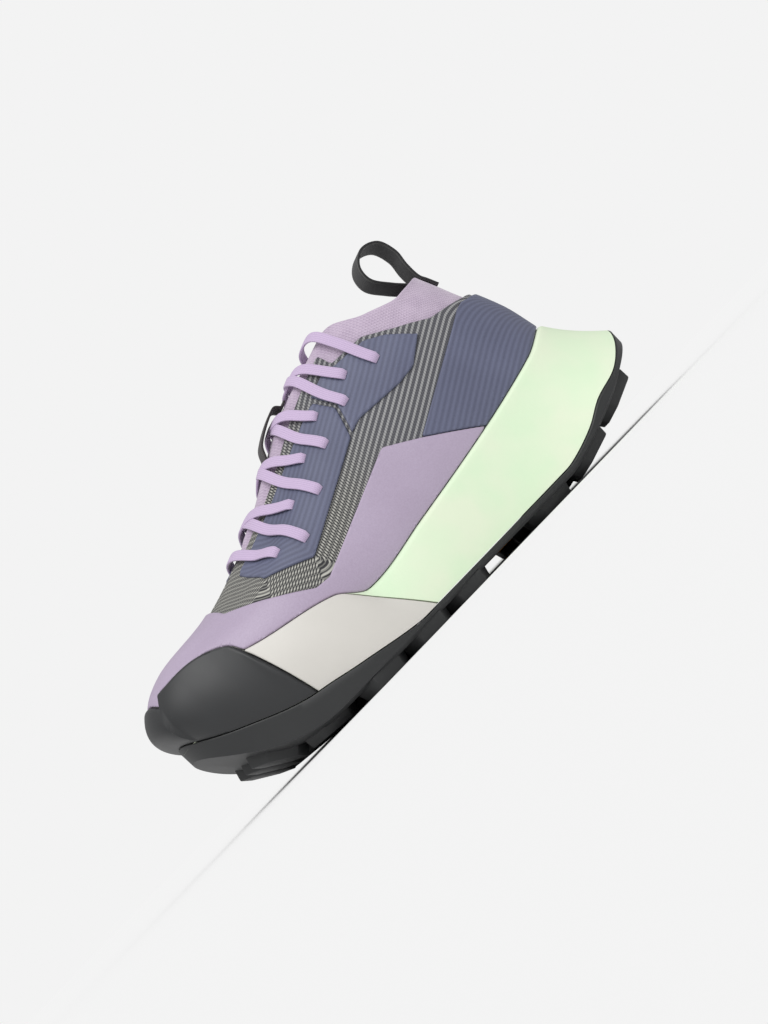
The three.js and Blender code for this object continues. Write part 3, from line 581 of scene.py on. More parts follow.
class LastProbe:
    """Finds points over the last at an angle from upright, and unrolls the upper."""

    def __init__(self):
        self.trees = {}
        self.stations = np.linspace(60, 262, 90)
        self.angles = np.radians(np.linspace(0, 150, 121))
        self.table = {}

    def tree(self, lift):
        if lift not in self.trees:
            sheet = make_sheet(288, 60, lambda turn, up: offset_surface(turn, up, np.full(turn.shape, lift)))
            points = sheet["points"].reshape(-1, 3)
            self.trees[lift] = BVHTree.FromPolygons(points.tolist(), sheet["faces"].tolist())
        return self.trees[lift]

    def over(self, x, angle, lift):
        start = Vector((x, 0, float(footbed(x)) + PROBE_RISE * TONGUE))
        hit = self.tree(lift).ray_cast(start, Vector((0, math.sin(angle), math.cos(angle))))[0]
        return np.array(hit) if hit else None

    def angle_at(self, x, height, side):
        low, high = 0.0, 1.5
        for _ in range(22):
            middle = (low + high) / 2
            point = self.over(x, side * middle, 0.0)
            if point is None or point[2] > height:
                low = middle
            else:
                high = middle
        return side * low

    def lengths(self, side):
        """Lengths up the last from its widest, at each station and angle on one side."""
        if side not in self.table:
            radii = np.full((len(self.stations), len(self.angles)), np.nan)
            for i, x in enumerate(self.stations):
                start = Vector((x, 0, float(footbed(x)) + PROBE_RISE * TONGUE))
                for j, angle in enumerate(self.angles):
                    way = Vector((0, side * math.sin(angle), math.cos(angle)))
                    hit, _, _, distance = self.tree(0.0).ray_cast(start, way)
                    if hit:
                        radii[i, j] = distance
            for row in radii:
                known = ~np.isnan(row)
                if known.any():
                    row[:] = np.interp(self.angles, self.angles[known], row[known])
            bare = np.isnan(radii[:, 0])
            known = np.flatnonzero(~bare)
            for i in np.flatnonzero(bare):
                radii[i] = radii[known[np.argmin(np.abs(known - i))]]
            step = self.angles[1]
            grown = np.diff(radii, axis=1)
            mean = (radii[:, 1:] + radii[:, :-1]) / 2
            lengths = np.cumsum(np.hypot(grown, mean * step), axis=1)
            lengths = np.concatenate([np.zeros((len(radii), 1)), lengths], axis=1)
            level = int(round(math.radians(90) / step))
            self.table[side] = lengths[:, level:level + 1] - lengths
        return self.table[side]

    def unroll(self, points):
        """Length along the shoe and length up its side, for points on the last."""
        x = points[:, 0]
        angle = np.arctan2(points[:, 1], points[:, 2] - footbed(x) - PROBE_RISE * TONGUE)
        pitch = self.stations[1] - self.stations[0]
        place = np.clip((x - self.stations[0]) / pitch, 0, len(self.stations) - 1.001)
        turn = np.clip(np.abs(angle) / self.angles[1], 0, len(self.angles) - 1.001)
        i, j = place.astype(int), turn.astype(int)
        s, t = place - i, turn - j
        result = np.zeros(len(x))
        for side in (1, -1):
            table = self.lengths(side)
            value = ((table[i, j] * (1 - s) + table[i + 1, j] * s) * (1 - t)
                     + (table[i, j + 1] * (1 - s) + table[i + 1, j + 1] * s) * t)
            chosen = (points[:, 1] >= 0) == (side > 0)
            result[chosen] = value[chosen]
        return x, result


probe = LastProbe()

# The line that the woven stripes and the film's ribs follow, as shares of the length and rises: down the
# lower eyestay's edge and round its front to the ridge. Toward the heel it takes the slope of BESIDE.
GUIDE = [(0.483, 0.527), (0.672, 0.309), (0.74, 0.375)]
BESIDE = [(0.22, 0.51), (0.41, 0.29)]
GUIDE_RIDGE = 0.785
GUIDE_HEEL = 20.0


def height_up_side(share, rise, side):
    x = share * LENGTH
    angle = probe.angle_at(x, float(footbed(x)) + rise * TONGUE, side)
    point = probe.over(x, angle, 0.0)
    return x, float(probe.unroll(point[None])[1][0])


def guide_line(side):
    known = [height_up_side(share, rise, side) for share, rise in GUIDE]
    (ax, ah), (bx, bh) = (height_up_side(share, rise, side) for share, rise in BESIDE)
    slope = (bh - ah) / (bx - ax)
    heel = (GUIDE_HEEL, known[0][1] + slope * (GUIDE_HEEL - known[0][0]))
    top = probe.over(GUIDE_RIDGE * LENGTH, side * 0.01, 0.0)
    ridge = (top[0], float(probe.unroll(top[None])[1][0]))
    return [heel, *known, ridge]


def stripe_places(points):
    """For each point: length along the guide line, distance from it, and share of the shoe's length."""
    x, height = probe.unroll(points)
    along_line = np.zeros(len(x))
    signed = np.zeros(len(x))
    for side in (1, -1):
        line = guide_line(side)
        chosen = (points[:, 1] >= 0) == (side > 0)
        px, ph = x[chosen], height[chosen]
        best = np.full(len(px), 1e9)
        run = np.zeros(len(px))
        sign = np.zeros(len(px))
        start = 0.0
        for (ax, ah), (bx, bh) in zip(line[:-1], line[1:]):
            dx, dh = bx - ax, bh - ah
            size = math.hypot(dx, dh)
            t = np.clip(((px - ax) * dx + (ph - ah) * dh) / size ** 2, 0, 1)
            gap = np.hypot(px - ax - t * dx, ph - ah - t * dh)
            nearer = gap < best
            best = np.where(nearer, gap, best)
            run = np.where(nearer, start + t * size, run)
            sign = np.where(nearer, np.sign(dx * (ph - ah) - dh * (px - ax)), sign)
            start += size
        along_line[chosen] = run
        signed[chosen] = best * sign
    return np.stack([along_line, signed, x / LENGTH], -1)


# Materials

STRIPE_PITCH = 2.6  # millimetres from one woven stripe to the next
STROKE_PITCH = 1.25  # millimetres between cross strokes, drawn coarser than the real 0.9 to show


def linear(code):
    """An sRGB hex colour as linear values."""
    parts = [int(code[i:i + 2], 16) / 255 for i in (1, 3, 5)]
    return (*[p / 12.92 if p <= 0.04045 else ((p + 0.055) / 1.055) ** 2.4 for p in parts], 1.0)


def add_node(tree, kind, settings, inputs):
    """Adds a node, sets its properties, and gives each input a value or a link."""
    made = tree.nodes.new(kind)
    for name, value in settings.items():
        setattr(made, name, value)
    for key, value in inputs.items():
        if isinstance(value, bpy.types.NodeSocket):
            tree.links.new(value, made.inputs[key])
        else:
            made.inputs[key].default_value = value
    return made


def start_material(name, roughness, **sockets):
    material = bpy.data.materials.new(name)
    material.use_nodes = True
    shader = material.node_tree.nodes["Principled BSDF"]
    shader.inputs["Roughness"].default_value = roughness
    for key, value in sockets.items():
        shader.inputs[key.replace("_", " ")].default_value = value
    return material, material.node_tree, shader


def moulded_rubber(name, dark, light, roughness):
    """Carbon-black rubber from a steel mould: a soft broad shine, faint flow marks and etched grain."""
    material, tree, shader = start_material(name, roughness)
    place = add_node(tree, "ShaderNodeTexCoord", {}, {}).outputs["Object"]
    # Flow marks about 18 mm across
    flow = add_node(tree, "ShaderNodeTexNoise", {}, {"Vector": place, "Scale": 55.0, "Detail": 3.0})
    tone = add_node(tree, "ShaderNodeMix", {"data_type": "RGBA"}, {0: flow.outputs[0], 6: dark, 7: light})
    tree.links.new(tone.outputs[2], shader.inputs["Base Color"])
    # Etched grain of 0.5 mm, drawn a little coarser than the mould's 0.3 mm
    grain = add_node(tree, "ShaderNodeTexNoise", {}, {"Vector": place, "Scale": 2000.0, "Detail": 2.0})
    bump = add_node(tree, "ShaderNodeBump", {}, {
        "Height": grain.outputs[0], "Strength": 0.35, "Distance": 0.00006})
    tree.links.new(bump.outputs[0], shader.inputs["Normal"])
    rough = add_node(tree, "ShaderNodeMapRange", {}, {
        "Value": flow.outputs[0], "To Min": roughness - 0.08, "To Max": roughness + 0.1})
    tree.links.new(rough.outputs[0], shader.inputs["Roughness"])
    return material


def foam(name, cool, warm):
    """Compression-moulded foam: matt skin with faint pores and slightly uneven tint."""
    material, tree, shader = start_material(name, 0.6)
    place = add_node(tree, "ShaderNodeTexCoord", {}, {}).outputs["Object"]
    # Tint drifts over about 25 mm
    drift = add_node(tree, "ShaderNodeTexNoise", {}, {"Vector": place, "Scale": 40.0, "Detail": 2.0})
    tint = add_node(tree, "ShaderNodeMapRange", {}, {
        "Value": drift.outputs[0], "From Min": 0.35, "From Max": 0.65})
    tone = add_node(tree, "ShaderNodeMix", {"data_type": "RGBA"}, {0: tint.outputs[0], 6: cool, 7: warm})
    tree.links.new(tone.outputs[2], shader.inputs["Base Color"])
    # Pores of 0.7 mm and pebbles of 2 mm
    pores = add_node(tree, "ShaderNodeTexVoronoi", {}, {"Vector": place, "Scale": 1400.0})
    pebble = add_node(tree, "ShaderNodeTexNoise", {}, {"Vector": place, "Scale": 500.0, "Detail": 2.0})
    both = add_node(tree, "ShaderNodeMath", {"operation": "ADD"}, {
        0: pores.outputs[0], 1: pebble.outputs[0]})
    bump = add_node(tree, "ShaderNodeBump", {}, {
        "Height": both.outputs[0], "Strength": 0.2, "Distance": 0.00008})
    tree.links.new(bump.outputs[0], shader.inputs["Normal"])
    return material


def coated_rand(name, cool, warm):
    """Cast polyurethane rand: smooth, satin, and almost without grain."""
    material, tree, shader = start_material(name, 0.5)
    place = add_node(tree, "ShaderNodeTexCoord", {}, {}).outputs["Object"]
    drift = add_node(tree, "ShaderNodeTexNoise", {}, {"Vector": place, "Scale": 60.0, "Detail": 2.0})
    tone = add_node(tree, "ShaderNodeMix", {"data_type": "RGBA"}, {0: drift.outputs[0], 6: cool, 7: warm})
    tree.links.new(tone.outputs[2], shader.inputs["Base Color"])
    grain = add_node(tree, "ShaderNodeTexNoise", {}, {"Vector": place, "Scale": 1500.0, "Detail": 3.0})
    bump = add_node(tree, "ShaderNodeBump", {}, {
        "Height": grain.outputs[0], "Strength": 0.25, "Distance": 0.00005})
    tree.links.new(bump.outputs[0], shader.inputs["Normal"])
    return material


def ribbed_film(name, dark, light, rib, speckle):
    """Hot-pressed polyurethane film: dull satin, a fine speckle, and the ribs of the cloth below."""
    material, tree, shader = start_material(name, 0.55)
    place = add_node(tree, "ShaderNodeTexCoord", {}, {}).outputs["Object"]
    weave = add_node(tree, "ShaderNodeAttribute", {"attribute_name": "stripe_places"}, {})
    parts = add_node(tree, "ShaderNodeSeparateXYZ", {}, {0: weave.outputs["Vector"]})
    # Ribs lie over the stripes of the cloth below
    turn = add_node(tree, "ShaderNodeMath", {"operation": "MULTIPLY"}, {
        0: parts.outputs[1], 1: 2 * math.pi / STRIPE_PITCH})
    wave = add_node(tree, "ShaderNodeMath", {"operation": "SINE"}, {0: turn.outputs[0]})
    drift = add_node(tree, "ShaderNodeTexNoise", {}, {"Vector": place, "Scale": 30.0, "Detail": 2.0})
    # Speckle of 0.6 mm
    fleck = add_node(tree, "ShaderNodeTexNoise", {}, {"Vector": place, "Scale": 1600.0, "Detail": 2.0})
    spread = add_node(tree, "ShaderNodeMapRange", {}, {
        "Value": fleck.outputs[0], "From Min": 0.35, "From Max": 0.65, "To Min": -speckle, "To Max": speckle})
    ribs = add_node(tree, "ShaderNodeMath", {"operation": "MULTIPLY_ADD"}, {
        0: wave.outputs[0], 1: rib, 2: drift.outputs[0]})
    share = add_node(tree, "ShaderNodeMath", {"operation": "ADD", "use_clamp": True}, {
        0: ribs.outputs[0], 1: spread.outputs[0]})
    tone = add_node(tree, "ShaderNodeMix", {"data_type": "RGBA"}, {0: share.outputs[0], 6: dark, 7: light})
    tree.links.new(tone.outputs[2], shader.inputs["Base Color"])
    low = add_node(tree, "ShaderNodeMath", {"operation": "MULTIPLY"}, {0: wave.outputs[0], 1: rib * 2})
    height = add_node(tree, "ShaderNodeMath", {"operation": "MULTIPLY_ADD"}, {
        0: fleck.outputs[0], 1: 0.6, 2: low.outputs[0]})
    bump = add_node(tree, "ShaderNodeBump", {}, {
        "Height": height.outputs[0], "Strength": 0.35, "Distance": 0.0001})
    tree.links.new(bump.outputs[0], shader.inputs["Normal"])
    return material


def striped_weave(name, heel_tones, toe_tones):
    """Jacquard-woven polyester: dark ground, pale stripes, and cross strokes that lead over the toes."""
    material, tree, shader = start_material(name, 0.8)
    weave = add_node(tree, "ShaderNodeAttribute", {"attribute_name": "stripe_places"}, {})
    parts = add_node(tree, "ShaderNodeSeparateXYZ", {}, {0: weave.outputs["Vector"]})
    rows = add_node(tree, "ShaderNodeMath", {"operation": "DIVIDE"}, {0: parts.outputs[1], 1: STRIPE_PITCH})
    across = add_node(tree, "ShaderNodeMath", {"operation": "FRACT"}, {0: rows.outputs[0]})
    centred = add_node(tree, "ShaderNodeMath", {"operation": "SUBTRACT"}, {0: across.outputs[0], 1: 0.5})
    away = add_node(tree, "ShaderNodeMath", {"operation": "ABSOLUTE"}, {0: centred.outputs[0]})
    stripe = add_node(tree, "ShaderNodeMapRange", {"interpolation_type": "SMOOTHSTEP"}, {
        "Value": away.outputs[0], "From Min": 0.3, "From Max": 0.1})
    # Cross strokes
    cell = add_node(tree, "ShaderNodeMath", {"operation": "FLOOR"}, {0: rows.outputs[0]})
    shift = add_node(tree, "ShaderNodeMath", {"operation": "MULTIPLY_ADD"}, {
        0: cell.outputs[0], 1: 0.37, 2: across.outputs[0]})
    run = add_node(tree, "ShaderNodeMath", {"operation": "MULTIPLY_ADD"}, {
        0: parts.outputs[0], 1: 1 / STROKE_PITCH, 2: shift.outputs[0]})
    beat = add_node(tree, "ShaderNodeMath", {"operation": "PINGPONG"}, {0: run.outputs[0], 1: 0.5})
    stroke = add_node(tree, "ShaderNodeMapRange", {"interpolation_type": "SMOOTHSTEP"}, {
        "Value": beat.outputs[0], "From Min": 0.1, "From Max": 0.4})
    # Toward the heel the stripes lead
    broken = add_node(tree, "ShaderNodeMath", {"operation": "MULTIPLY_ADD"}, {
        0: stroke.outputs[0], 1: 0.35, 2: 0.6})
    floats = add_node(tree, "ShaderNodeMath", {"operation": "MULTIPLY"}, {
        0: stripe.outputs[0], 1: broken.outputs[0]})
    ground = add_node(tree, "ShaderNodeMix", {"data_type": "RGBA"}, {
        0: stroke.outputs[0], 6: heel_tones[0], 7: heel_tones[1]})
    heel_tone = add_node(tree, "ShaderNodeMix", {"data_type": "RGBA"}, {
        0: floats.outputs[0], 6: ground.outputs[2], 7: heel_tones[2]})
    # Over the toes the strokes lead
    lit = add_node(tree, "ShaderNodeMath", {"operation": "MULTIPLY_ADD"}, {
        0: stripe.outputs[0], 1: 0.55, 2: 0.45})
    picks = add_node(tree, "ShaderNodeMath", {"operation": "MULTIPLY"}, {
        0: stroke.outputs[0], 1: lit.outputs[0]})
    toe_tone = add_node(tree, "ShaderNodeMix", {"data_type": "RGBA"}, {
        0: picks.outputs[0], 6: toe_tones[0], 7: toe_tones[1]})
    front = add_node(tree, "ShaderNodeMapRange", {"interpolation_type": "SMOOTHSTEP"}, {
        "Value": parts.outputs[2], "From Min": 0.42, "From Max": 0.62})
    tone = add_node(tree, "ShaderNodeMix", {"data_type": "RGBA"}, {
        0: front.outputs[0], 6: heel_tone.outputs[2], 7: toe_tone.outputs[2]})
    tree.links.new(tone.outputs[2], shader.inputs["Base Color"])
    height = add_node(tree, "ShaderNodeMath", {"operation": "ADD"}, {
        0: stroke.outputs[0], 1: stripe.outputs[0]})
    bump = add_node(tree, "ShaderNodeBump", {}, {
        "Height": height.outputs[0], "Strength": 0.6, "Distance": 0.0002})
    tree.links.new(bump.outputs[0], shader.inputs["Normal"])
    return material


def wale_knit(name, dark, light, wale, course):
    """Weft knit of textured yarn: soft, matt, with upright wales and fine courses."""
    material, tree, shader = start_material(name, 0.92, Sheen_Weight=0.25, Sheen_Roughness=0.5)
    place = add_node(tree, "ShaderNodeTexCoord", {}, {}).outputs["Object"]
    weave = add_node(tree, "ShaderNodeAttribute", {"attribute_name": "knit_places"}, {})
    parts = add_node(tree, "ShaderNodeSeparateXYZ", {}, {0: weave.outputs["Vector"]})
    across = add_node(tree, "ShaderNodeMath", {"operation": "MULTIPLY"}, {0: parts.outputs[0], 1: 1 / wale})
    stitch = add_node(tree, "ShaderNodeMath", {"operation": "PINGPONG"}, {0: across.outputs[0], 1: 0.5})
    bend = add_node(tree, "ShaderNodeMath", {"operation": "MULTIPLY_ADD"}, {
        0: parts.outputs[1], 1: 1 / course, 2: stitch.outputs[0]})
    loop = add_node(tree, "ShaderNodeMath", {"operation": "PINGPONG"}, {0: bend.outputs[0], 1: 0.5})
    both = add_node(tree, "ShaderNodeMath", {"operation": "ADD"}, {
        0: stitch.outputs[0], 1: loop.outputs[0]})
    cloud = add_node(tree, "ShaderNodeTexNoise", {}, {"Vector": place, "Scale": 120.0, "Detail": 4.0})
    share = add_node(tree, "ShaderNodeMath", {"operation": "MULTIPLY_ADD", "use_clamp": True}, {
        0: both.outputs[0], 1: 0.7, 2: cloud.outputs[0]})
    fitted = add_node(tree, "ShaderNodeMapRange", {}, {
        "Value": share.outputs[0], "From Min": 0.4, "From Max": 1.15})
    tone = add_node(tree, "ShaderNodeMix", {"data_type": "RGBA"}, {0: fitted.outputs[0], 6: dark, 7: light})
    tree.links.new(tone.outputs[2], shader.inputs["Base Color"])
    bump = add_node(tree, "ShaderNodeBump", {}, {
        "Height": both.outputs[0], "Strength": 0.6, "Distance": 0.0003})
    tree.links.new(bump.outputs[0], shader.inputs["Normal"])
    return material


def woven_tape(name, dark, light, edge):
    """Narrow woven polyester tape: dense picks across, and a raised edge thread."""
    material, tree, shader = start_material(name, 0.75, Sheen_Weight=0.15)
    weave = add_node(tree, "ShaderNodeAttribute", {"attribute_name": "tape_places"}, {})
    parts = add_node(tree, "ShaderNodeSeparateXYZ", {}, {0: weave.outputs["Vector"]})
    # Picks 0.8 mm apart with a herringbone lean
    side = add_node(tree, "ShaderNodeMath", {"operation": "ABSOLUTE"}, {0: parts.outputs[1]})
    run = add_node(tree, "ShaderNodeMath", {"operation": "MULTIPLY_ADD"}, {
        0: parts.outputs[0], 1: 1 / 0.8, 2: side.outputs[0]})
    pick = add_node(tree, "ShaderNodeMath", {"operation": "PINGPONG"}, {0: run.outputs[0], 1: 0.5})
    warp = add_node(tree, "ShaderNodeMath", {"operation": "MULTIPLY"}, {0: parts.outputs[1], 1: 1 / 0.9})
    end = add_node(tree, "ShaderNodeMath", {"operation": "PINGPONG"}, {0: warp.outputs[0], 1: 0.5})
    both = add_node(tree, "ShaderNodeMath", {"operation": "ADD"}, {0: pick.outputs[0], 1: end.outputs[0]})
    tone = add_node(tree, "ShaderNodeMix", {"data_type": "RGBA"}, {0: both.outputs[0], 6: dark, 7: light})
    # The edge thread, by the share of the half width in the third value
    rim = add_node(tree, "ShaderNodeMapRange", {"interpolation_type": "SMOOTHSTEP"}, {
        "Value": parts.outputs[2], "From Min": 0.78, "From Max": 0.88})
    back = add_node(tree, "ShaderNodeMapRange", {"interpolation_type": "SMOOTHSTEP"}, {
        "Value": parts.outputs[2], "From Min": 0.98, "From Max": 0.93})
    line = add_node(tree, "ShaderNodeMath", {"operation": "MULTIPLY"}, {
        0: rim.outputs[0], 1: back.outputs[0]})
    edged = add_node(tree, "ShaderNodeMix", {"data_type": "RGBA"}, {
        0: line.outputs[0], 6: tone.outputs[2], 7: edge})
    tree.links.new(edged.outputs[2], shader.inputs["Base Color"])
    bump = add_node(tree, "ShaderNodeBump", {}, {
        "Height": both.outputs[0], "Strength": 0.5, "Distance": 0.0002})
    tree.links.new(bump.outputs[0], shader.inputs["Normal"])
    return material


def amber_plastic(name, deep, bright):
    """Injected amber polyurethane: glossy, slightly see-into, with a crystal-etched face."""
    material, tree, shader = start_material(name, 0.32, Coat_Weight=0.3, Subsurface_Weight=0.15)
    shader.inputs["Subsurface Radius"].default_value = (0.004, 0.002, 0.0005)
    place = add_node(tree, "ShaderNodeTexCoord", {}, {}).outputs["Object"]
    etch = add_node(tree, "ShaderNodeTexNoise", {}, {"Vector": place, "Scale": 500.0, "Detail": 5.0})
    tone = add_node(tree, "ShaderNodeMix", {"data_type": "RGBA"}, {0: etch.outputs[0], 6: deep, 7: bright})
    tree.links.new(tone.outputs[2], shader.inputs["Base Color"])
    bump = add_node(tree, "ShaderNodeBump", {}, {
        "Height": etch.outputs[0], "Strength": 0.5, "Distance": 0.0002})
    tree.links.new(bump.outputs[0], shader.inputs["Normal"])
    return material


# Settings that a user would change

class ShoeSizes(bpy.types.PropertyGroup):
    lace_width: bpy.props.FloatProperty(
        name="Lace width", description="Width of the flat laces in millimetres", default=LACE_WIDTH,
        min=3, max=8)
    film_edge: bpy.props.FloatProperty(
        name="Film edge", description="Radius of the films' pressed edges in millimetres", default=0.7,
        min=0.2, max=1.5)
    cap_edge: bpy.props.FloatProperty(
        name="Cap edge", description="Radius of the toe cap's top edge in millimetres", default=1.8,
        min=0.5, max=2)
    lug_bevel: bpy.props.FloatProperty(
        name="Lug bevel", description="Rounding of the lugs' edges in metres", default=0.0006, unit="LENGTH")


def colour(name, description, code):
    return bpy.props.FloatVectorProperty(
        name=name, description=description, default=linear(code)[:3], subtype="COLOR", min=0, max=1)


class ShoeColours(bpy.types.PropertyGroup):
    weave_ground: colour("Weave ground", "Ground yarn of the woven upper", "#45454a")
    weave_pick: colour("Weave pick", "Yarn that crosses the ground", "#5b5b60")
    weave_stripe: colour("Weave stripe", "Stripes of the woven upper", "#a3a3a3")
    vamp_ground: colour("Vamp ground", "Ground yarn over the toes", "#2b2b2e")
    vamp_stroke: colour("Vamp stroke", "Cross strokes over the toes", "#b9b8b0")
    knit_deep: colour("Knit, deep", "Between the stitches of the collar and tongue", "#a594aa")
    knit_face: colour("Knit, face", "Stitches of the collar and tongue", "#c6b6c9")
    lilac_deep: colour("Mudguard, deep", "Darker flecks of the mudguard's film", "#a495ab")
    lilac_face: colour("Mudguard, face", "Lighter flecks of the mudguard's film", "#b3a5bb")
    slate_deep: colour("Slate film, deep", "Darker ribs of the counter and the eyestays", "#51546a")
    slate_face: colour("Slate film, face", "Lighter ribs of the counter and the eyestays", "#646880")
    foam_cool: colour("Foam, cool", "Cooler tint of the midsole", "#d6ebcb")
    foam_warm: colour("Foam, warm", "Warmer tint of the midsole", "#dfead0")
    rand_cool: colour("Rand, cool", "Cooler tint of the rands", "#c9c6c0")
    rand_warm: colour("Rand, warm", "Warmer tint of the rands", "#d0cdc7")
    cap_dark: colour("Toe cap, dark", "Darker rubber of the toe cap", "#232425")
    cap_light: colour("Toe cap, light", "Lighter rubber of the toe cap", "#2a2b2d")
    sole_dark: colour("Outsole, dark", "Darker rubber of the outsole", "#202122")
    sole_light: colour("Outsole, light", "Lighter rubber of the outsole", "#292a2b")
    inset_deep: colour("Inset, deep", "Deeper amber of the oval inset", "#dd8404")
    inset_bright: colour("Inset, bright", "Brighter amber of the oval inset", "#f3a512")
    insole_deep: colour("Insole, deep", "Between the stitches of the insole", "#2b2b2e")
    insole_face: colour("Insole, face", "Stitches of the insole", "#4b4b50")
    lace_deep: colour("Lace, deep", "Between the picks of the laces", "#ad98ba")
    lace_face: colour("Lace, face", "Picks of the laces", "#cfbbd8")
    lace_edge: colour("Lace, edge", "Edge thread of the laces", "#c9b5d3")
    keeper_deep: colour("Keeper, deep", "Between the picks of the lace keeper", "#1b1617")
    keeper_face: colour("Keeper, face", "Picks of the lace keeper", "#30292a")
    keeper_edge: colour("Keeper, edge", "Edge thread of the lace keeper", "#3a3233")
    loop_deep: colour("Loop, deep", "Between the picks of the heel loop", "#0e0e0f")
    loop_face: colour("Loop, face", "Picks of the heel loop", "#232325")
    loop_edge: colour("Loop, edge", "Edge thread of the heel loop", "#4a4a48")
    floor: colour("Floor", "Pale studio floor", "#eeeeee")


def chosen(*names):
    """Colours by name, with an alpha of one."""
    return [(*getattr(bpy.context.scene.shoe_colours, name), 1.0) for name in names]


def throat_outline(shift=0.0, grow=0.0):
    """Corners of the throat in plan, moved toward the toe and grown all round."""
    outer = [(share * LENGTH + shift + grow, half + grow) for share, half in THROAT]
    return np.array(outer + [(x, -y) for x, y in outer][::-1])


# Operators

class SHOE_OT_upper(bpy.types.Operator):
    """Woven shell of the upper, with its collar and throat cut out"""
    bl_idname = "shoe.upper"
    bl_label = "Woven upper"

    def execute(self, context):
        sheet = make_sheet(480, 84, last_surface)
        x, y, z = (sheet["points"][..., k] for k in range(3))
        below_collar = -distance_inside(side_view(COLLAR_LINE), x, z)
        throat = throat_outline()
        beside_throat = np.where(z > 62, -distance_inside(throat, x, y), 60.0)
        edge = np.minimum(surface_distance(sheet, below_collar), surface_distance(sheet, beside_throat))
        part = cut_sheet(sheet, edge, [0.5])
        drop = 0.5 - np.sqrt(np.maximum(0, 0.25 - (0.5 - np.minimum(part["edge"], 0.5)) ** 2))
        outside = offset_surface(part["turn"], part["up"], -drop)
        inside = offset_surface(part["turn"], part["up"], np.full(len(drop), -UPPER_WALL))
        piece = new_piece("woven_upper", *close_sheet(outside, inside, part["faces"]))
        places = stripe_places(outside)
        keep_places(piece, "stripe_places", np.concatenate([places, places]))
        weave = striped_weave("striped_jacquard", chosen("weave_ground", "weave_pick", "weave_stripe"),
                              chosen("vamp_ground", "vamp_stroke"))
        finish_piece(piece, weave, ["upper"])
        return {"FINISHED"}


class SHOE_OT_knit(bpy.types.Operator):
    """Knitted collar and tongue, one sock with a rolled top edge"""
    bl_idname = "shoe.knit"
    bl_label = "Knitted collar"

    def execute(self, context):
        columns = 400
        turn = np.arange(columns) / columns
        line = side_view([(-0.1, 0.44), (0.33, 0.49), (0.55, 0.49), (0.77, 0.35)])

        def outside_zone(p):
            low = p[..., 2] < np.interp(p[..., 0], line[:, 0], line[:, 1])
            return low | (p[..., 0] > 0.77 * LENGTH)

        base = find_up(turn, outside_zone)
        throat = throat_outline()
        rings = []
        rows = 46
        for share in np.linspace(0, 1, rows):
            up = base + (1 - base) * share
            # The tongue is padded, and fills the throat to just under the laces
            place = last_surface(turn, up)
            within = np.clip(distance_inside(throat, place[:, 0], place[:, 1]) / 7, 0, 1)
            below_edge = np.clip((1 - up) / 0.12, 0, 1)
            padding = TONGUE_PADDING * within * within * (3 - 2 * within) * below_edge
            rings.append(offset_surface(turn, up, SOCK_OUTER + padding))
        # The edge rolls over from the outer face to the inner one
        middle = (SOCK_OUTER + SOCK_INNER) / 2
        half = (SOCK_OUTER - SOCK_INNER) / 2
        top_turn, top_up = turn, np.ones(columns)
        normal = last_normal(top_turn, top_up)
        rise = last_surface(turn, np.ones(columns)) - last_surface(turn, np.full(columns, 0.99))
        rise /= np.linalg.norm(rise, axis=-1, keepdims=True)
        centre = last_surface(turn, np.ones(columns)) + normal * middle
        for step in range(1, 8):
            angle = math.pi * step / 8
            rings.append(centre + normal * half * math.cos(angle) + rise * half * 0.9 * math.sin(angle))
        for share in np.linspace(1, 0, rows):
            up = base + (1 - base) * share
            rings.append(offset_surface(turn, up, np.full(columns, SOCK_INNER)))
        points = np.concatenate(rings)
        piece = new_piece("knit_sock", points, ring_quads(rings, joined=True))
        x, fall = probe.unroll(points)
        heel = np.abs(points[:, 1])
        keep_places(piece, "knit_places", np.stack([x + 0.35 * heel, points[:, 2] - 0.4 * x, fall], -1))
        finish_piece(piece, wale_knit("lilac_rib_knit", *chosen("knit_deep", "knit_face"), 1.15, 1.3),
                     ["knit_collar"])
        return {"FINISHED"}


COLLAR_GAP = 2.4  # weave seen above the films along the collar
THROAT_GAP = 3.5  # and along the throat
FILM_FOOT, FILM_BACK = 0.35, 0.12  # edge and back of a film over the last


def film_piece(name, outline, nodes, material, edge_radius, remove=(), half=0, throat_shift=0.0):
    """A film cut to an outline of the side view, with a pressed edge."""
    sheet = make_sheet(640, 96, last_surface)
    points = sheet["points"]
    x, y, z = (points[..., k] for k in range(3))
    fields = [distance_inside(side_view(outline), x, z)]
    fields += [-distance_inside(side_view(other), x, z) - FIT_GAP for other in remove]
    fields.append(-distance_inside(side_view(COLLAR_LINE), x, z) - COLLAR_GAP)
    throat = throat_outline(throat_shift, THROAT_GAP)
    fields.append(np.where(z > 58, -distance_inside(throat, x, y), 60.0))
    fields = [surface_distance(sheet, field) for field in fields]
    rim = rim_up(sheet["turn"][:, 0])
    rise = np.linalg.norm(np.gradient(points, axis=1), axis=-1) * 96
    fields.append((sheet["up"] - rim[:, None]) * rise - 0.35)
    if half:
        fields.append(half * y - 0.01)
    edge = np.minimum.reduce(fields)
    part = cut_sheet(sheet, edge, [edge_radius * 0.25, edge_radius])
    near = np.minimum(part["edge"] / edge_radius, 1)
    height = FILM_FOOT + (FILM_TOP - FILM_FOOT) * np.sqrt(np.maximum(0, 1 - (1 - near) ** 2))
    outside = offset_surface(part["turn"], part["up"], height)
    inside = offset_surface(part["turn"], part["up"], np.full(len(height), FILM_BACK))
    piece = new_piece(name, *close_sheet(outside, inside, part["faces"]))
    places = stripe_places(outside)
    keep_places(piece, "stripe_places", np.concatenate([places, places]))
    finish_piece(piece, material, nodes)
    return piece


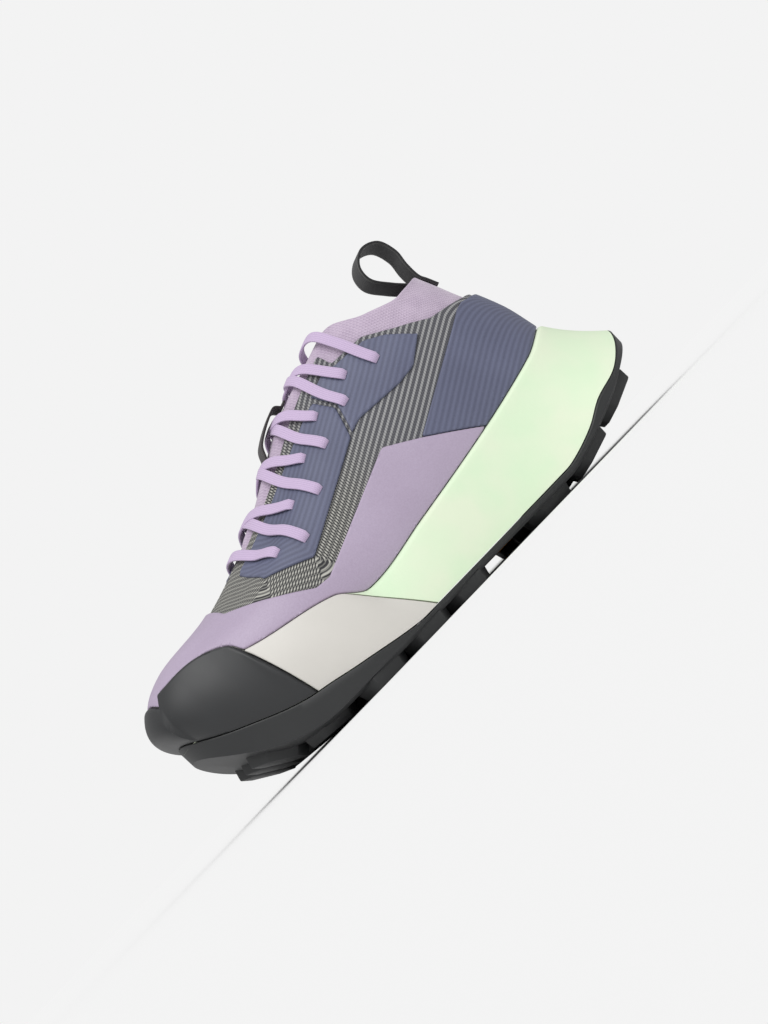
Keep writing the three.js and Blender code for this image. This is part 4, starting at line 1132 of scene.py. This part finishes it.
class SHOE_OT_films(bpy.types.Operator):
    """Mudguard, heel counter and eyestays, fused over the woven shell"""
    bl_idname = "shoe.films"
    bl_label = "Fused films"

    def execute(self, context):
        radius = context.scene.shoe_sizes.film_edge
        lilac = ribbed_film("lilac_fused_film", *chosen("lilac_deep", "lilac_face"), 0.0, 0.22)
        slate = ribbed_film("slate_fused_film", *chosen("slate_deep", "slate_face"), 0.35, 0.12)
        film_piece("mudguard_film", GUARD, ["mudguard"], lilac, radius)
        film_piece("heel_counter_film", COUNTER, ["heel_counter"], slate, radius,
                   remove=[GUARD])
        for half, word in ((1, "outer"), (-1, "inner")):
            film_piece("eyestay_lower_film_" + word, LOWER_STAY, ["eyestay_lower_" + word], slate,
                       radius, half=half, throat_shift=12.0)
            film_piece("eyestay_upper_film_" + word, UPPER_STAY, ["eyestay_upper_" + word], slate,
                       radius, remove=[LOWER_STAY], half=half)
        return {"FINISHED"}


def band_rows(turn, inset, top_radius, rows=22):
    """Rings of the sole's side, from the seam to a rounded rim."""
    low = sole_band(turn, np.zeros_like(turn), inset)
    high = sole_band(turn, np.ones_like(turn), inset)
    height = np.linalg.norm(high - low, axis=-1)
    rings = []
    for share in np.linspace(0, 1, rows)[:-1]:
        fit = share * (1 - top_radius / height)
        rings.append(sole_band(turn, fit, inset))
    for angle in np.radians([0, 18, 36, 54, 72, 88]):
        fit = 1 - top_radius * (1 - math.sin(angle)) / height
        rings.append(sole_band(turn, fit, inset + top_radius * (1 - math.cos(angle))))
    return rings


class SHOE_OT_midsole(bpy.types.Operator):
    """Foam midsole: a cup round the heel and arch, and a board under the ball"""
    bl_idname = "shoe.midsole"
    bl_label = "Foam midsole"

    def execute(self, context):
        turn = np.arange(360) / 360
        rings = band_rows(turn, 0.0, 1.7)
        rim = rim_up(turn)
        for share in np.linspace(1, 0, 9):
            rings.append(offset_surface(turn, rim * share, np.full(360, FIT_GAP)))
        floor = rings[-1].copy()
        floor[:, 2] = footbed(floor[:, 0]) - 2 * FIT_GAP
        rings.append(floor)
        piece = new_piece("foam_midsole", *loft(rings))
        face_outward(piece)
        # All in front of the slanted joint is cut away
        (share0, z0), (share1, z1) = RAND_BACK
        slope = (share1 - share0) * LENGTH / (z1 - z0)
        front, bottom, top = 400, -20, 150
        foot, head = (share0 * LENGTH + slope * (z - z0) for z in (bottom, top))
        outline = [(foot, bottom), (front, bottom), (front, top), (head, top)]
        tool_points = [(px, side, pz) for side in (-200, 200) for px, pz in outline]
        sides = [(0, 1, 2, 3), (7, 6, 5, 4), (0, 4, 5, 1), (1, 5, 6, 2), (2, 6, 7, 3), (3, 7, 4, 0)]
        tool = new_piece("front", tool_points, sides, smooth=False)
        face_outward(tool)
        combine(piece, tool, "DIFFERENCE")
        inner = COVER + 2.5
        low = sole_band(turn, np.zeros(360), np.full(360, inner))
        high = sole_band(turn, np.full(360, 0.35), np.full(360, inner))
        high[:, 2] = np.minimum(high[:, 2], footbed(high[:, 0]) - 2 * FIT_GAP - 0.05)
        low[:, 2] += 0.02
        ceiling = offset_surface(turn, np.zeros(360), np.full(360, -1.0))
        ceiling[:, 2] = footbed(ceiling[:, 0]) - 2 * FIT_GAP - 0.05
        board = new_piece("board", *loft([low, high, ceiling]))
        face_outward(board)
        combine(piece, board, "UNION")
        smooth_by_angle(piece, 40)
        mint = foam("mint_moulded_foam", *chosen("foam_cool", "foam_warm"))
        finish_piece(piece, mint, ["midsole"])
        return {"FINISHED"}


def cover_piece(name, nodes, field_of, radius, material):
    """A rubber cover on the sole's side, with rounded edges."""
    rows = 44
    sheet = make_sheet(560, rows, lambda turn, up: sole_band(turn, up, np.zeros(turn.shape)))
    points = sheet["points"]
    rise = np.sum(np.linalg.norm(np.diff(points, axis=1), axis=-1), axis=1)[:, None]
    fields = [surface_distance(sheet, field) for field in field_of(points)]
    top = (1 - sheet["up"]) * rise
    bottom = sheet["up"] * rise + radius
    edge = np.minimum.reduce([*fields, top, bottom])
    edge = np.where(sheet["up"] < 1e-9, np.minimum(edge, radius + 1), edge)
    part = cut_sheet(sheet, edge, [radius * 0.15, radius * 0.5, radius])
    near = np.minimum(part["edge"] / radius, 1)
    inset = radius * (1 - np.sqrt(np.maximum(0, 1 - (1 - near) ** 2)))
    outside = sole_band(part["turn"], part["up"], inset)
    inside = sole_band(part["turn"], part["up"], np.full(len(inset), COVER - 0.1))
    piece = new_piece(name, *close_sheet(outside, inside, part["faces"]))
    smooth_by_angle(piece, 50)
    finish_piece(piece, material, nodes)
    return piece


class SHOE_OT_covers(bpy.types.Operator):
    """Grey rands at both sides and the black toe cap"""
    bl_idname = "shoe.covers"
    bl_label = "Rands and toe cap"

    def execute(self, context):
        grey = coated_rand("grey_cast_rand", *chosen("rand_cool", "rand_warm"))
        for side, word in ((1, "outer"), (-1, "inner")):
            def rand_fields(p, side=side):
                x, y, z = p[..., 0], p[..., 1], p[..., 2]
                return [ahead_of(RAND_BACK, x, z) - FIT_GAP, -ahead_of(CAP_BACK, x, z), side * y - 0.01]

            cover_piece("grey_rand_" + word, ["rand_" + word], rand_fields, 0.9, grey)
        cover_piece("rubber_toe_cap", ["toe_cap"],
                    lambda p: [ahead_of(CAP_BACK, p[..., 0], p[..., 2]) - FIT_GAP],
                    context.scene.shoe_sizes.cap_edge,
                    moulded_rubber("toe_cap_rubber", *chosen("cap_dark", "cap_light"), 0.5))
        return {"FINISHED"}


def lug_solid(row, y, bevel):
    """One lug: a bevelled block with tapering sides, sunk into the sole."""
    at, _, _, width, shape = row
    outline = LUG_OUTLINES[shape]
    corners = len(outline)
    clear_selection()
    bpy.ops.mesh.primitive_circle_add(vertices=corners, radius=0.01, fill_type="NGON")
    block = bpy.context.object
    for vertex, (u, v) in zip(block.data.vertices, outline):
        vertex.co = (u * LUG_LENGTH / 1000, v * width / 1000, 0)
    bpy.ops.object.mode_set(mode="EDIT")
    bpy.ops.mesh.select_all(action="SELECT")
    depth = (LUG_DEPTH + LUG_ROOT) / 1000
    bpy.ops.mesh.extrude_region_move(TRANSFORM_OT_translate={"value": (0, 0, depth)})
    grown = ((LUG_LENGTH + LUG_FLARE) / LUG_LENGTH, (width + LUG_FLARE) / width, 1)
    bpy.ops.transform.resize(value=grown, center_override=(0, 0, 0))
    bpy.ops.mesh.select_all(action="SELECT")
    bpy.ops.mesh.normals_make_consistent(inside=False)
    bpy.ops.object.mode_set(mode="OBJECT")
    modifier = block.modifiers.new("edges", "BEVEL")
    modifier.width = bevel
    modifier.segments = 2
    modifier.limit_method = "ANGLE"
    modifier.angle_limit = math.radians(25)
    bpy.ops.object.modifier_apply(modifier=modifier.name)
    x = at * LENGTH
    reach = LUG_LENGTH / 2
    ends = float(rocker(x - reach)), float(rocker(x + reach))
    slope = math.atan2(ends[1] - ends[0], LUG_LENGTH)
    turned = Matrix.Rotation(-slope, 4, "Y")
    block.data.transform(turned)
    lowest = min(vertex.co.z for vertex in block.data.vertices)
    place = Vector((x, y, min(ends))) / 1000 + Vector(SHIFT) - Vector((0, 0, lowest))
    block.data.transform(Matrix.Translation(place))
    return block


class SHOE_OT_outsole(bpy.types.Operator):
    """Rubber outsole with its lugs and the pocket of the inset"""
    bl_idname = "shoe.outsole"
    bl_label = "Rubber outsole"

    def execute(self, context):
        turn = np.arange(320) / 320
        x = ring_plan(SOLE_RING, turn)[:, 0]
        inset = along(UNDERSIDE_INSET, x / LENGTH)
        sole_under = lambda place: rocker(place) + LUG_DEPTH
        foot = plain_ring(SOLE_RING, turn, -inset, sole_under)
        edge_foot = lambda place: sole_under(place) + EDGE_RISE
        low = plain_ring(SOLE_RING, turn, np.full(320, EDGE_STAND / 2), edge_foot)
        high = plain_ring(SOLE_RING, turn, np.full(320, EDGE_STAND), seam_height)
        ledge = plain_ring(SOLE_RING, turn, np.full(320, 0.0), seam_height)
        rings = [foot, foot + (low - foot) * 0.6, low]
        rings += [low + (high - low) * share for share in (0.12, 0.3, 0.5, 0.7)]
        brim = high.copy()
        brim[:, 2] -= 0.6
        rings += [brim, high * 0.5 + ledge * 0.5 - np.array([0, 0, 0.08]), ledge]
        piece = new_piece("rubber_outsole", *loft(rings))
        face_outward(piece)
        bevel = context.scene.shoe_sizes.lug_bevel
        for row in LUG_ROWS:
            at, count, reach, _, _ = row
            share = np.array(at / 0.985)
            outer = float(half_width(SOLE_RING, share, np.array(True)))
            inner = -float(half_width(SOLE_RING, share, np.array(False)))
            for i in range(count):
                t = 0.5 + (i / (count - 1) - 0.5) * reach
                y = inner + (outer - inner) * t + float(sway(np.array(at * LENGTH)))
                combine(piece, lug_solid(row, y, bevel), "UNION")
        clear_selection()
        bpy.ops.mesh.primitive_cylinder_add(vertices=64, radius=1, depth=2)
        oval = bpy.context.object
        size = Vector(((14 + FIT_GAP) / 1000, (9 + FIT_GAP) / 1000, (LUG_DEPTH + 0.9) / 1000))
        oval.data.transform(Matrix.Diagonal((size.x, size.y, size.z, 1)))
        oval.data.transform(Matrix.Translation(Vector((INSET_AT * LENGTH / 1000, 0, 0)) + Vector(SHIFT)))
        combine(piece, oval, "DIFFERENCE")
        smooth_by_angle(piece, 35)
        rubber = moulded_rubber("outsole_rubber", *chosen("sole_dark", "sole_light"), 0.55)
        finish_piece(piece, rubber, ["outsole"])
        return {"FINISHED"}


class SHOE_OT_inset(bpy.types.Operator):
    """Plain amber oval under the arch"""
    bl_idname = "shoe.inset"
    bl_label = "Amber inset"

    def execute(self, context):
        low, high = (Vector(corner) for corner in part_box("sole_inset"))
        clear_selection()
        bpy.ops.mesh.primitive_cylinder_add(vertices=72, radius=1, depth=2, end_fill_type="NGON")
        piece = bpy.context.object
        piece.name = piece.data.name = "amber_sole_inset"
        half = (high - low) / 2
        piece.data.transform(Matrix.Diagonal((half.x, half.y, half.z, 1)))
        bpy.ops.object.mode_set(mode="EDIT")
        bpy.ops.mesh.select_mode(type="FACE")
        bpy.ops.mesh.select_all(action="DESELECT")
        work = bmesh.from_edit_mesh(piece.data)
        for face in work.faces:
            face.select = face.normal.z < -0.9
        bmesh.update_edit_mesh(piece.data)
        bpy.ops.mesh.inset(thickness=0.0012)
        bpy.ops.transform.translate(value=(0, 0, 0.0003))
        bpy.ops.mesh.inset(thickness=0.0008)
        bpy.ops.transform.translate(value=(0, 0, -0.0002))
        bpy.ops.object.mode_set(mode="OBJECT")
        piece.data.transform(Matrix.Translation((low + high) / 2))
        modifier = piece.modifiers.new("edges", "BEVEL")
        modifier.width = 0.00025
        modifier.segments = 2
        bpy.ops.object.modifier_apply(modifier=modifier.name)
        smooth_by_angle(piece, 40)
        amber = amber_plastic("amber_injected_plastic", *chosen("inset_deep", "inset_bright"))
        finish_piece(piece, amber, ["sole_inset"])
        return {"FINISHED"}


class SHOE_OT_insole(bpy.types.Operator):
    """Moulded insole with a textile top"""
    bl_idname = "shoe.insole"
    bl_label = "Insole"

    def execute(self, context):
        turn = np.arange(240) / 240
        lift = lambda p, height: np.stack([p[:, 0], p[:, 1], footbed(p[:, 0]) + height], -1)
        base = offset_surface(turn, np.zeros(240), np.full(240, -2.4))
        shoulder = offset_surface(turn, np.full(240, 0.03), np.full(240, -2.3))
        middle = np.stack([base[:, 0], np.full(240, 0.0) + sway(base[:, 0]), base[:, 2]], -1)
        rings = [lift(base, -FIT_GAP), lift(base, 0.8), lift(shoulder, 3.2), lift(shoulder, 4.0)]
        for share, height in ((0.94, 3.9), (0.85, 3.2), (0.7, 2.7), (0.5, 2.4), (0.3, 2.3), (0.12, 2.25)):
            rings.append(lift(middle + (shoulder - middle) * share, height))
        piece = new_piece("textile_insole", *loft(rings))
        face_outward(piece)
        points = np.array([tuple(v.co) for v in piece.data.vertices]) * 1000
        keep_places(piece, "knit_places", points)
        finish_piece(piece, wale_knit("insole_mesh_cloth", *chosen("insole_deep", "insole_face"), 1.6, 1.6),
                     ["insole"])
        return {"FINISHED"}


def tape_profile(corner):
    """Half widths and thicknesses round a flat tape, its edges rounded off."""
    points = []
    for angle in np.radians(np.arange(0, 360, 20)):
        u, v = math.cos(angle), math.sin(angle)
        points.append((math.copysign(abs(u) ** corner, u), math.copysign(abs(v) ** (corner * 1.6), v)))
    return points


def lay_lace(start, end, bow, lift_at):
    """Stations of a lace from one hole to another, over the last at a lift that may change on the way."""
    stations = []
    count = 44
    places = []
    for s in np.linspace(0, 1, count):
        x = start[0] + (end[0] - start[0]) * s + bow * math.sin(math.pi * s)
        angle = start[1] + (end[1] - start[1]) * s
        places.append(probe.over(x, angle, LACE_LIFT))
    places = np.array(places)
    ways = np.gradient(places, axis=0)
    ways /= np.linalg.norm(ways, axis=1, keepdims=True)
    run = np.concatenate([[0], np.cumsum(np.linalg.norm(np.diff(places, axis=0), axis=1))])
    for i, (place, way) in enumerate(zip(places, ways)):
        angle = math.atan2(place[1], place[2] - float(footbed(place[0])) - PROBE_RISE * TONGUE)
        behind = probe.over(place[0] - 1.5, angle, LACE_LIFT)
        fore = probe.over(place[0] + 1.5, angle, LACE_LIFT) - (place if behind is None else behind)
        through = np.cross(fore, way)
        through /= np.linalg.norm(through)
        outward = place - np.array([place[0], 0, float(footbed(place[0])) + PROBE_RISE * TONGUE])
        if np.dot(through, outward) < 0:
            through = -through
        across = np.cross(way, through)
        across /= np.linalg.norm(across)
        stations.append([place + through * lift_at(run[i], run[-1]), across, through, run[i]])
    return stations


def lace_mesh(stations, width, thick):
    profile = tape_profile(0.35)
    total = stations[-1][3]
    rows = []
    for place, across, through, run in stations:
        end = min(run, total - run)
        slim = min(1.0, 0.55 + end / 2.0)
        rows.append((place, across, through, width / 2 * slim ** 0.3, thick / 2 * slim))
    points, polygons = sweep(rows, profile)
    places = []
    for place, across, through, run in stations:
        for u, v in profile:
            places.append((run, u * width / 2, 0.0))
    return points, polygons, places


def lace_hole(n, which, side):
    share, rise = LACE_HOLES[n][which]
    x = share * LENGTH
    return x, probe.angle_at(x, float(footbed(x)) + rise * TONGUE, side)


class SHOE_OT_laces(bpy.types.Operator):
    """Flat laces: the top bar, four crossings and the bottom bar"""
    bl_idname = "shoe.laces"
    bl_label = "Laces"

    def execute(self, context):
        width = context.scene.shoe_sizes.lace_width
        cloth = woven_tape("lilac_lace_braid", *chosen("lace_deep", "lace_face", "lace_edge"))

        def dip(run, total):
            end = min(run, total - run)
            return -1.25 * max(0.0, 1 - end / 2.6) ** 2

        def over(run, total):
            return dip(run, total) + 0.62 * math.exp(-((run - total / 2) / 6.0) ** 2)

        def under(run, total):
            return dip(run, total) - 0.62 * math.exp(-((run - total / 2) / 6.0) ** 2)

        jobs = [
            ("top_lace", "lace_top", [(lace_hole(0, 0, 1), lace_hole(0, 0, -1), LACE_BOW, dip)]),
            ("bottom_lace", "lace_bottom", [(lace_hole(4, 1, 1), lace_hole(4, 1, -1), LACE_BOW * 0.75, dip)]),
        ]
        for n in range(4):
            jobs.append(("crossed_laces_%d" % (n + 1), "lace_crossing_%d" % (n + 1), [
                (lace_hole(n, 1, 1), lace_hole(n + 1, 0, -1), LACE_BOW, over if n % 2 else under),
                (lace_hole(n, 1, -1), lace_hole(n + 1, 0, 1), LACE_BOW, under if n % 2 else over),
            ]))
        for name, node, bands in jobs:
            all_points, all_polygons, all_places = [], [], []
            for start, end, bow, lift_at in bands:
                points, polygons, places = lace_mesh(lay_lace(start, end, bow, lift_at), width, LACE_THICK)
                base = sum(len(p) for p in all_points)
                all_points.append(points)
                all_polygons += [tuple(base + i for i in polygon) for polygon in polygons]
                all_places += places
            piece = new_piece(name, np.concatenate(all_points), all_polygons)
            keep_places(piece, "tape_places", all_places)
            recalculate(piece)
            smooth_by_angle(piece, 60)
            finish_piece(piece, cloth, [node])
        return {"FINISHED"}


def recalculate(piece):
    make_active(piece)
    bpy.ops.object.mode_set(mode="EDIT")
    bpy.ops.mesh.select_all(action="SELECT")
    bpy.ops.mesh.normals_make_consistent(inside=False)
    bpy.ops.object.mode_set(mode="OBJECT")


def middle_tape(places, width, thick, steps):
    """Stations of a tape in the middle plane, through places of the side view."""
    places = np.array(places, float)
    run = np.concatenate([[0], np.cumsum(np.hypot(*np.diff(places, axis=0).T) ** 0.5)])
    fine = np.linspace(0, run[-1], steps)
    rows_x = np.stack([run, places[:, 0]], -1)
    rows_z = np.stack([run, places[:, 1]], -1)
    line = np.stack([along(rows_x, fine), np.zeros(steps), along(rows_z, fine)], -1)
    ways = np.gradient(line, axis=0)
    ways /= np.linalg.norm(ways, axis=1, keepdims=True)
    length = np.concatenate([[0], np.cumsum(np.linalg.norm(np.diff(line, axis=0), axis=1))])
    stations = []
    for place, way, at in zip(line, ways, length):
        through = np.array([-way[2], 0, way[0]])
        across = np.array([0.0, 1.0, 0.0])
        stations.append((place, across, through, width / 2, thick / 2, at))
    return stations


def tape_piece(name, stations, material, nodes):
    profile = tape_profile(0.25)
    points, polygons = sweep([row[:5] for row in stations], profile)
    piece = new_piece(name, points, polygons)
    places = [(row[5], u * row[3], abs(u)) for row in stations for u, v in profile]
    keep_places(piece, "tape_places", places)
    recalculate(piece)
    smooth_by_angle(piece, 60)
    finish_piece(piece, material, nodes)
    return piece


class SHOE_OT_keeper(bpy.types.Operator):
    """Lace keeper on the tongue"""
    bl_idname = "shoe.keeper"
    bl_label = "Lace keeper"

    def execute(self, context):
        low_lift = SOCK_OUTER + TONGUE_PADDING + 0.6
        high_lift = 0.9 + 1.2 + 1.6 + 1.7 * FIT_GAP + 0.6
        rows = [(0.481, low_lift), (0.491, low_lift), (0.505, high_lift), (0.558, high_lift),
                (0.573, low_lift), (0.585, low_lift)]
        places = []
        for share, lift in rows:
            point = probe.over(share * LENGTH, 0.0, lift)
            places.append((point[0], point[2]))
        tape_piece("webbing_keeper", middle_tape(places, 11.0, 1.1, 50),
                   woven_tape("brown_black_webbing", *chosen("keeper_deep", "keeper_face", "keeper_edge")),
                   ["lace_keeper"])
        return {"FINISHED"}


class SHOE_OT_loop(bpy.types.Operator):
    """Pull loop of webbing at the heel"""
    bl_idname = "shoe.loop"
    bl_label = "Heel loop"

    def execute(self, context):
        def heel_point(up, lift):
            point = offset_surface(np.array([0.0]), np.array([up]), np.array([lift]))[0]
            return point[0], point[2]

        outer = SOCK_OUTER + 1.5 * FIT_GAP + 0.75
        inner = SOCK_INNER - 5 * FIT_GAP - 0.75
        rim_x, rim_z = heel_point(1.0, 0.0)
        free = [(1, 7), (0, 15), (3, 23.5), (11, 26), (18, 21), (19, 13), (13, 5)]
        places = [heel_point(0.86, outer), heel_point(0.93, outer), heel_point(1, outer)]
        places += [(rim_x + a, rim_z + b) for a, b in free]
        places += [heel_point(1, inner), heel_point(0.93, inner), heel_point(0.88, inner)]
        tape_piece("webbing_heel_loop", middle_tape(places, 14.0, 1.4, 110),
                   woven_tape("black_webbing", *chosen("loop_deep", "loop_face", "loop_edge")),
                   ["heel_loop"])
        return {"FINISHED"}


# The camera stops just over the floor, below which the photograph was taken: azimuth, elevation and roll
CAMERA_ANGLES = (159.98, -3.1, -45.82)
CAMERA_TARGET = (-0.00273, 0.00296, 0.05235)
CAMERA_DISTANCE = 0.8051
CAMERA_LENS = 43.09
SKY, SUN = 0.55, 2.02  # strengths that light the floor as bright as the backdrop


class SHOE_OT_stage(bpy.types.Operator):
    """Pale floor, soft lights and the camera at the photograph's angle"""
    bl_idname = "shoe.stage"
    bl_label = "Floor, lights and camera"

    def execute(self, context):
        scene = context.scene
        clear_selection()
        bpy.ops.mesh.primitive_plane_add(size=1)
        floor = bpy.context.object
        floor.name = floor.data.name = "studio_floor"
        floor.data.transform(Matrix.Diagonal((40, 40, 1, 1)))
        material, tree, shader = start_material("pale_studio_paper", 0.9)
        place = add_node(tree, "ShaderNodeTexCoord", {}, {}).outputs["Object"]
        tooth = add_node(tree, "ShaderNodeTexNoise", {}, {"Vector": place, "Scale": 300.0})
        bump = add_node(tree, "ShaderNodeBump", {}, {
            "Height": tooth.outputs[0], "Strength": 0.02, "Distance": 0.0002})
        tree.links.new(bump.outputs[0], shader.inputs["Normal"])
        shader.inputs["Base Color"].default_value = chosen("floor")[0]
        shader.inputs["Specular IOR Level"].default_value = 0.0
        floor.data.materials.append(material)

        world = bpy.data.worlds.new("pale_studio")
        scene.world = world
        world.use_nodes = True
        # The camera sees a pale backdrop as bright as the lit floor, and the shoe is lit by a dimmer sky
        lighting = world.node_tree.nodes["Background"]
        lighting.inputs["Color"].default_value = linear("#ffffff")
        lighting.inputs["Strength"].default_value = SKY
        backdrop = add_node(world.node_tree, "ShaderNodeBackground", {}, {"Color": linear("#f3f3f3")})
        seen = add_node(world.node_tree, "ShaderNodeLightPath", {}, {})
        either = add_node(world.node_tree, "ShaderNodeMixShader", {}, {
            0: seen.outputs["Is Camera Ray"], 1: lighting.outputs[0], 2: backdrop.outputs[0]})
        output = world.node_tree.nodes["World Output"]
        world.node_tree.links.new(either.outputs[0], output.inputs["Surface"])

        light = bpy.data.lights.new("soft_sun", "SUN")
        light.energy = SUN
        light.angle = math.radians(40)
        item = bpy.data.objects.new("soft_sun", light)
        scene.collection.objects.link(item)
        item.matrix_world = Vector((0.5, 0.9, 1.3)).to_track_quat("Z", "Y").to_matrix().to_4x4()

        azimuth, elevation, roll = (math.radians(angle) for angle in CAMERA_ANGLES)
        toward = Vector((math.sin(azimuth) * math.cos(elevation), -math.cos(azimuth) * math.cos(elevation),
                         math.sin(elevation)))
        right = Vector((0, 0, 1)).cross(toward).normalized()
        up = toward.cross(right)
        turned_right = math.cos(roll) * right + math.sin(roll) * up
        turned_up = -math.sin(roll) * right + math.cos(roll) * up
        target = Vector(CAMERA_TARGET)
        eye = target + toward * CAMERA_DISTANCE
        camera = bpy.data.cameras.new("camera")
        camera.clip_start = 0.002
        camera.sensor_fit = "VERTICAL"
        camera.sensor_height = 24
        camera.lens = CAMERA_LENS
        item = bpy.data.objects.new("camera", camera)
        scene.collection.objects.link(item)
        item.matrix_world = Matrix((
            (turned_right.x, turned_up.x, toward.x, eye.x),
            (turned_right.y, turned_up.y, toward.y, eye.y),
            (turned_right.z, turned_up.z, toward.z, eye.z),
            (0, 0, 0, 1),
        ))
        scene.camera = item
        scene.view_settings.view_transform = "Standard"
        return {"FINISHED"}


class SHOE_PT_panel(bpy.types.Panel):
    """Lists the shoe's pieces and settings"""
    bl_label = "Approach shoe"
    bl_idname = "SHOE_PT_panel"
    bl_space_type = "VIEW_3D"
    bl_region_type = "UI"
    bl_category = "Shoe"

    def draw(self, context):
        for group in (context.scene.shoe_sizes, context.scene.shoe_colours):
            for name in group.__annotations__:
                self.layout.prop(group, name)
        for operator in OPERATORS:
            self.layout.operator(operator.bl_idname)


OPERATORS = [SHOE_OT_upper, SHOE_OT_knit, SHOE_OT_films, SHOE_OT_midsole, SHOE_OT_covers, SHOE_OT_outsole,
             SHOE_OT_inset, SHOE_OT_insole, SHOE_OT_laces, SHOE_OT_keeper, SHOE_OT_loop, SHOE_OT_stage]
CLASSES = [ShoeSizes, ShoeColours, *OPERATORS, SHOE_PT_panel]


def register():
    for made in CLASSES:
        bpy.utils.register_class(made)
    bpy.types.Scene.shoe_sizes = bpy.props.PointerProperty(type=ShoeSizes)
    bpy.types.Scene.shoe_colours = bpy.props.PointerProperty(type=ShoeColours)


def unregister():
    del bpy.types.Scene.shoe_colours
    del bpy.types.Scene.shoe_sizes
    for made in reversed(CLASSES):
        bpy.utils.unregister_class(made)


def main():
    register()
    for operator in OPERATORS:
        module, name = operator.bl_idname.split(".")
        getattr(getattr(bpy.ops, module), name)()


if __name__ == "__main__":
    main()
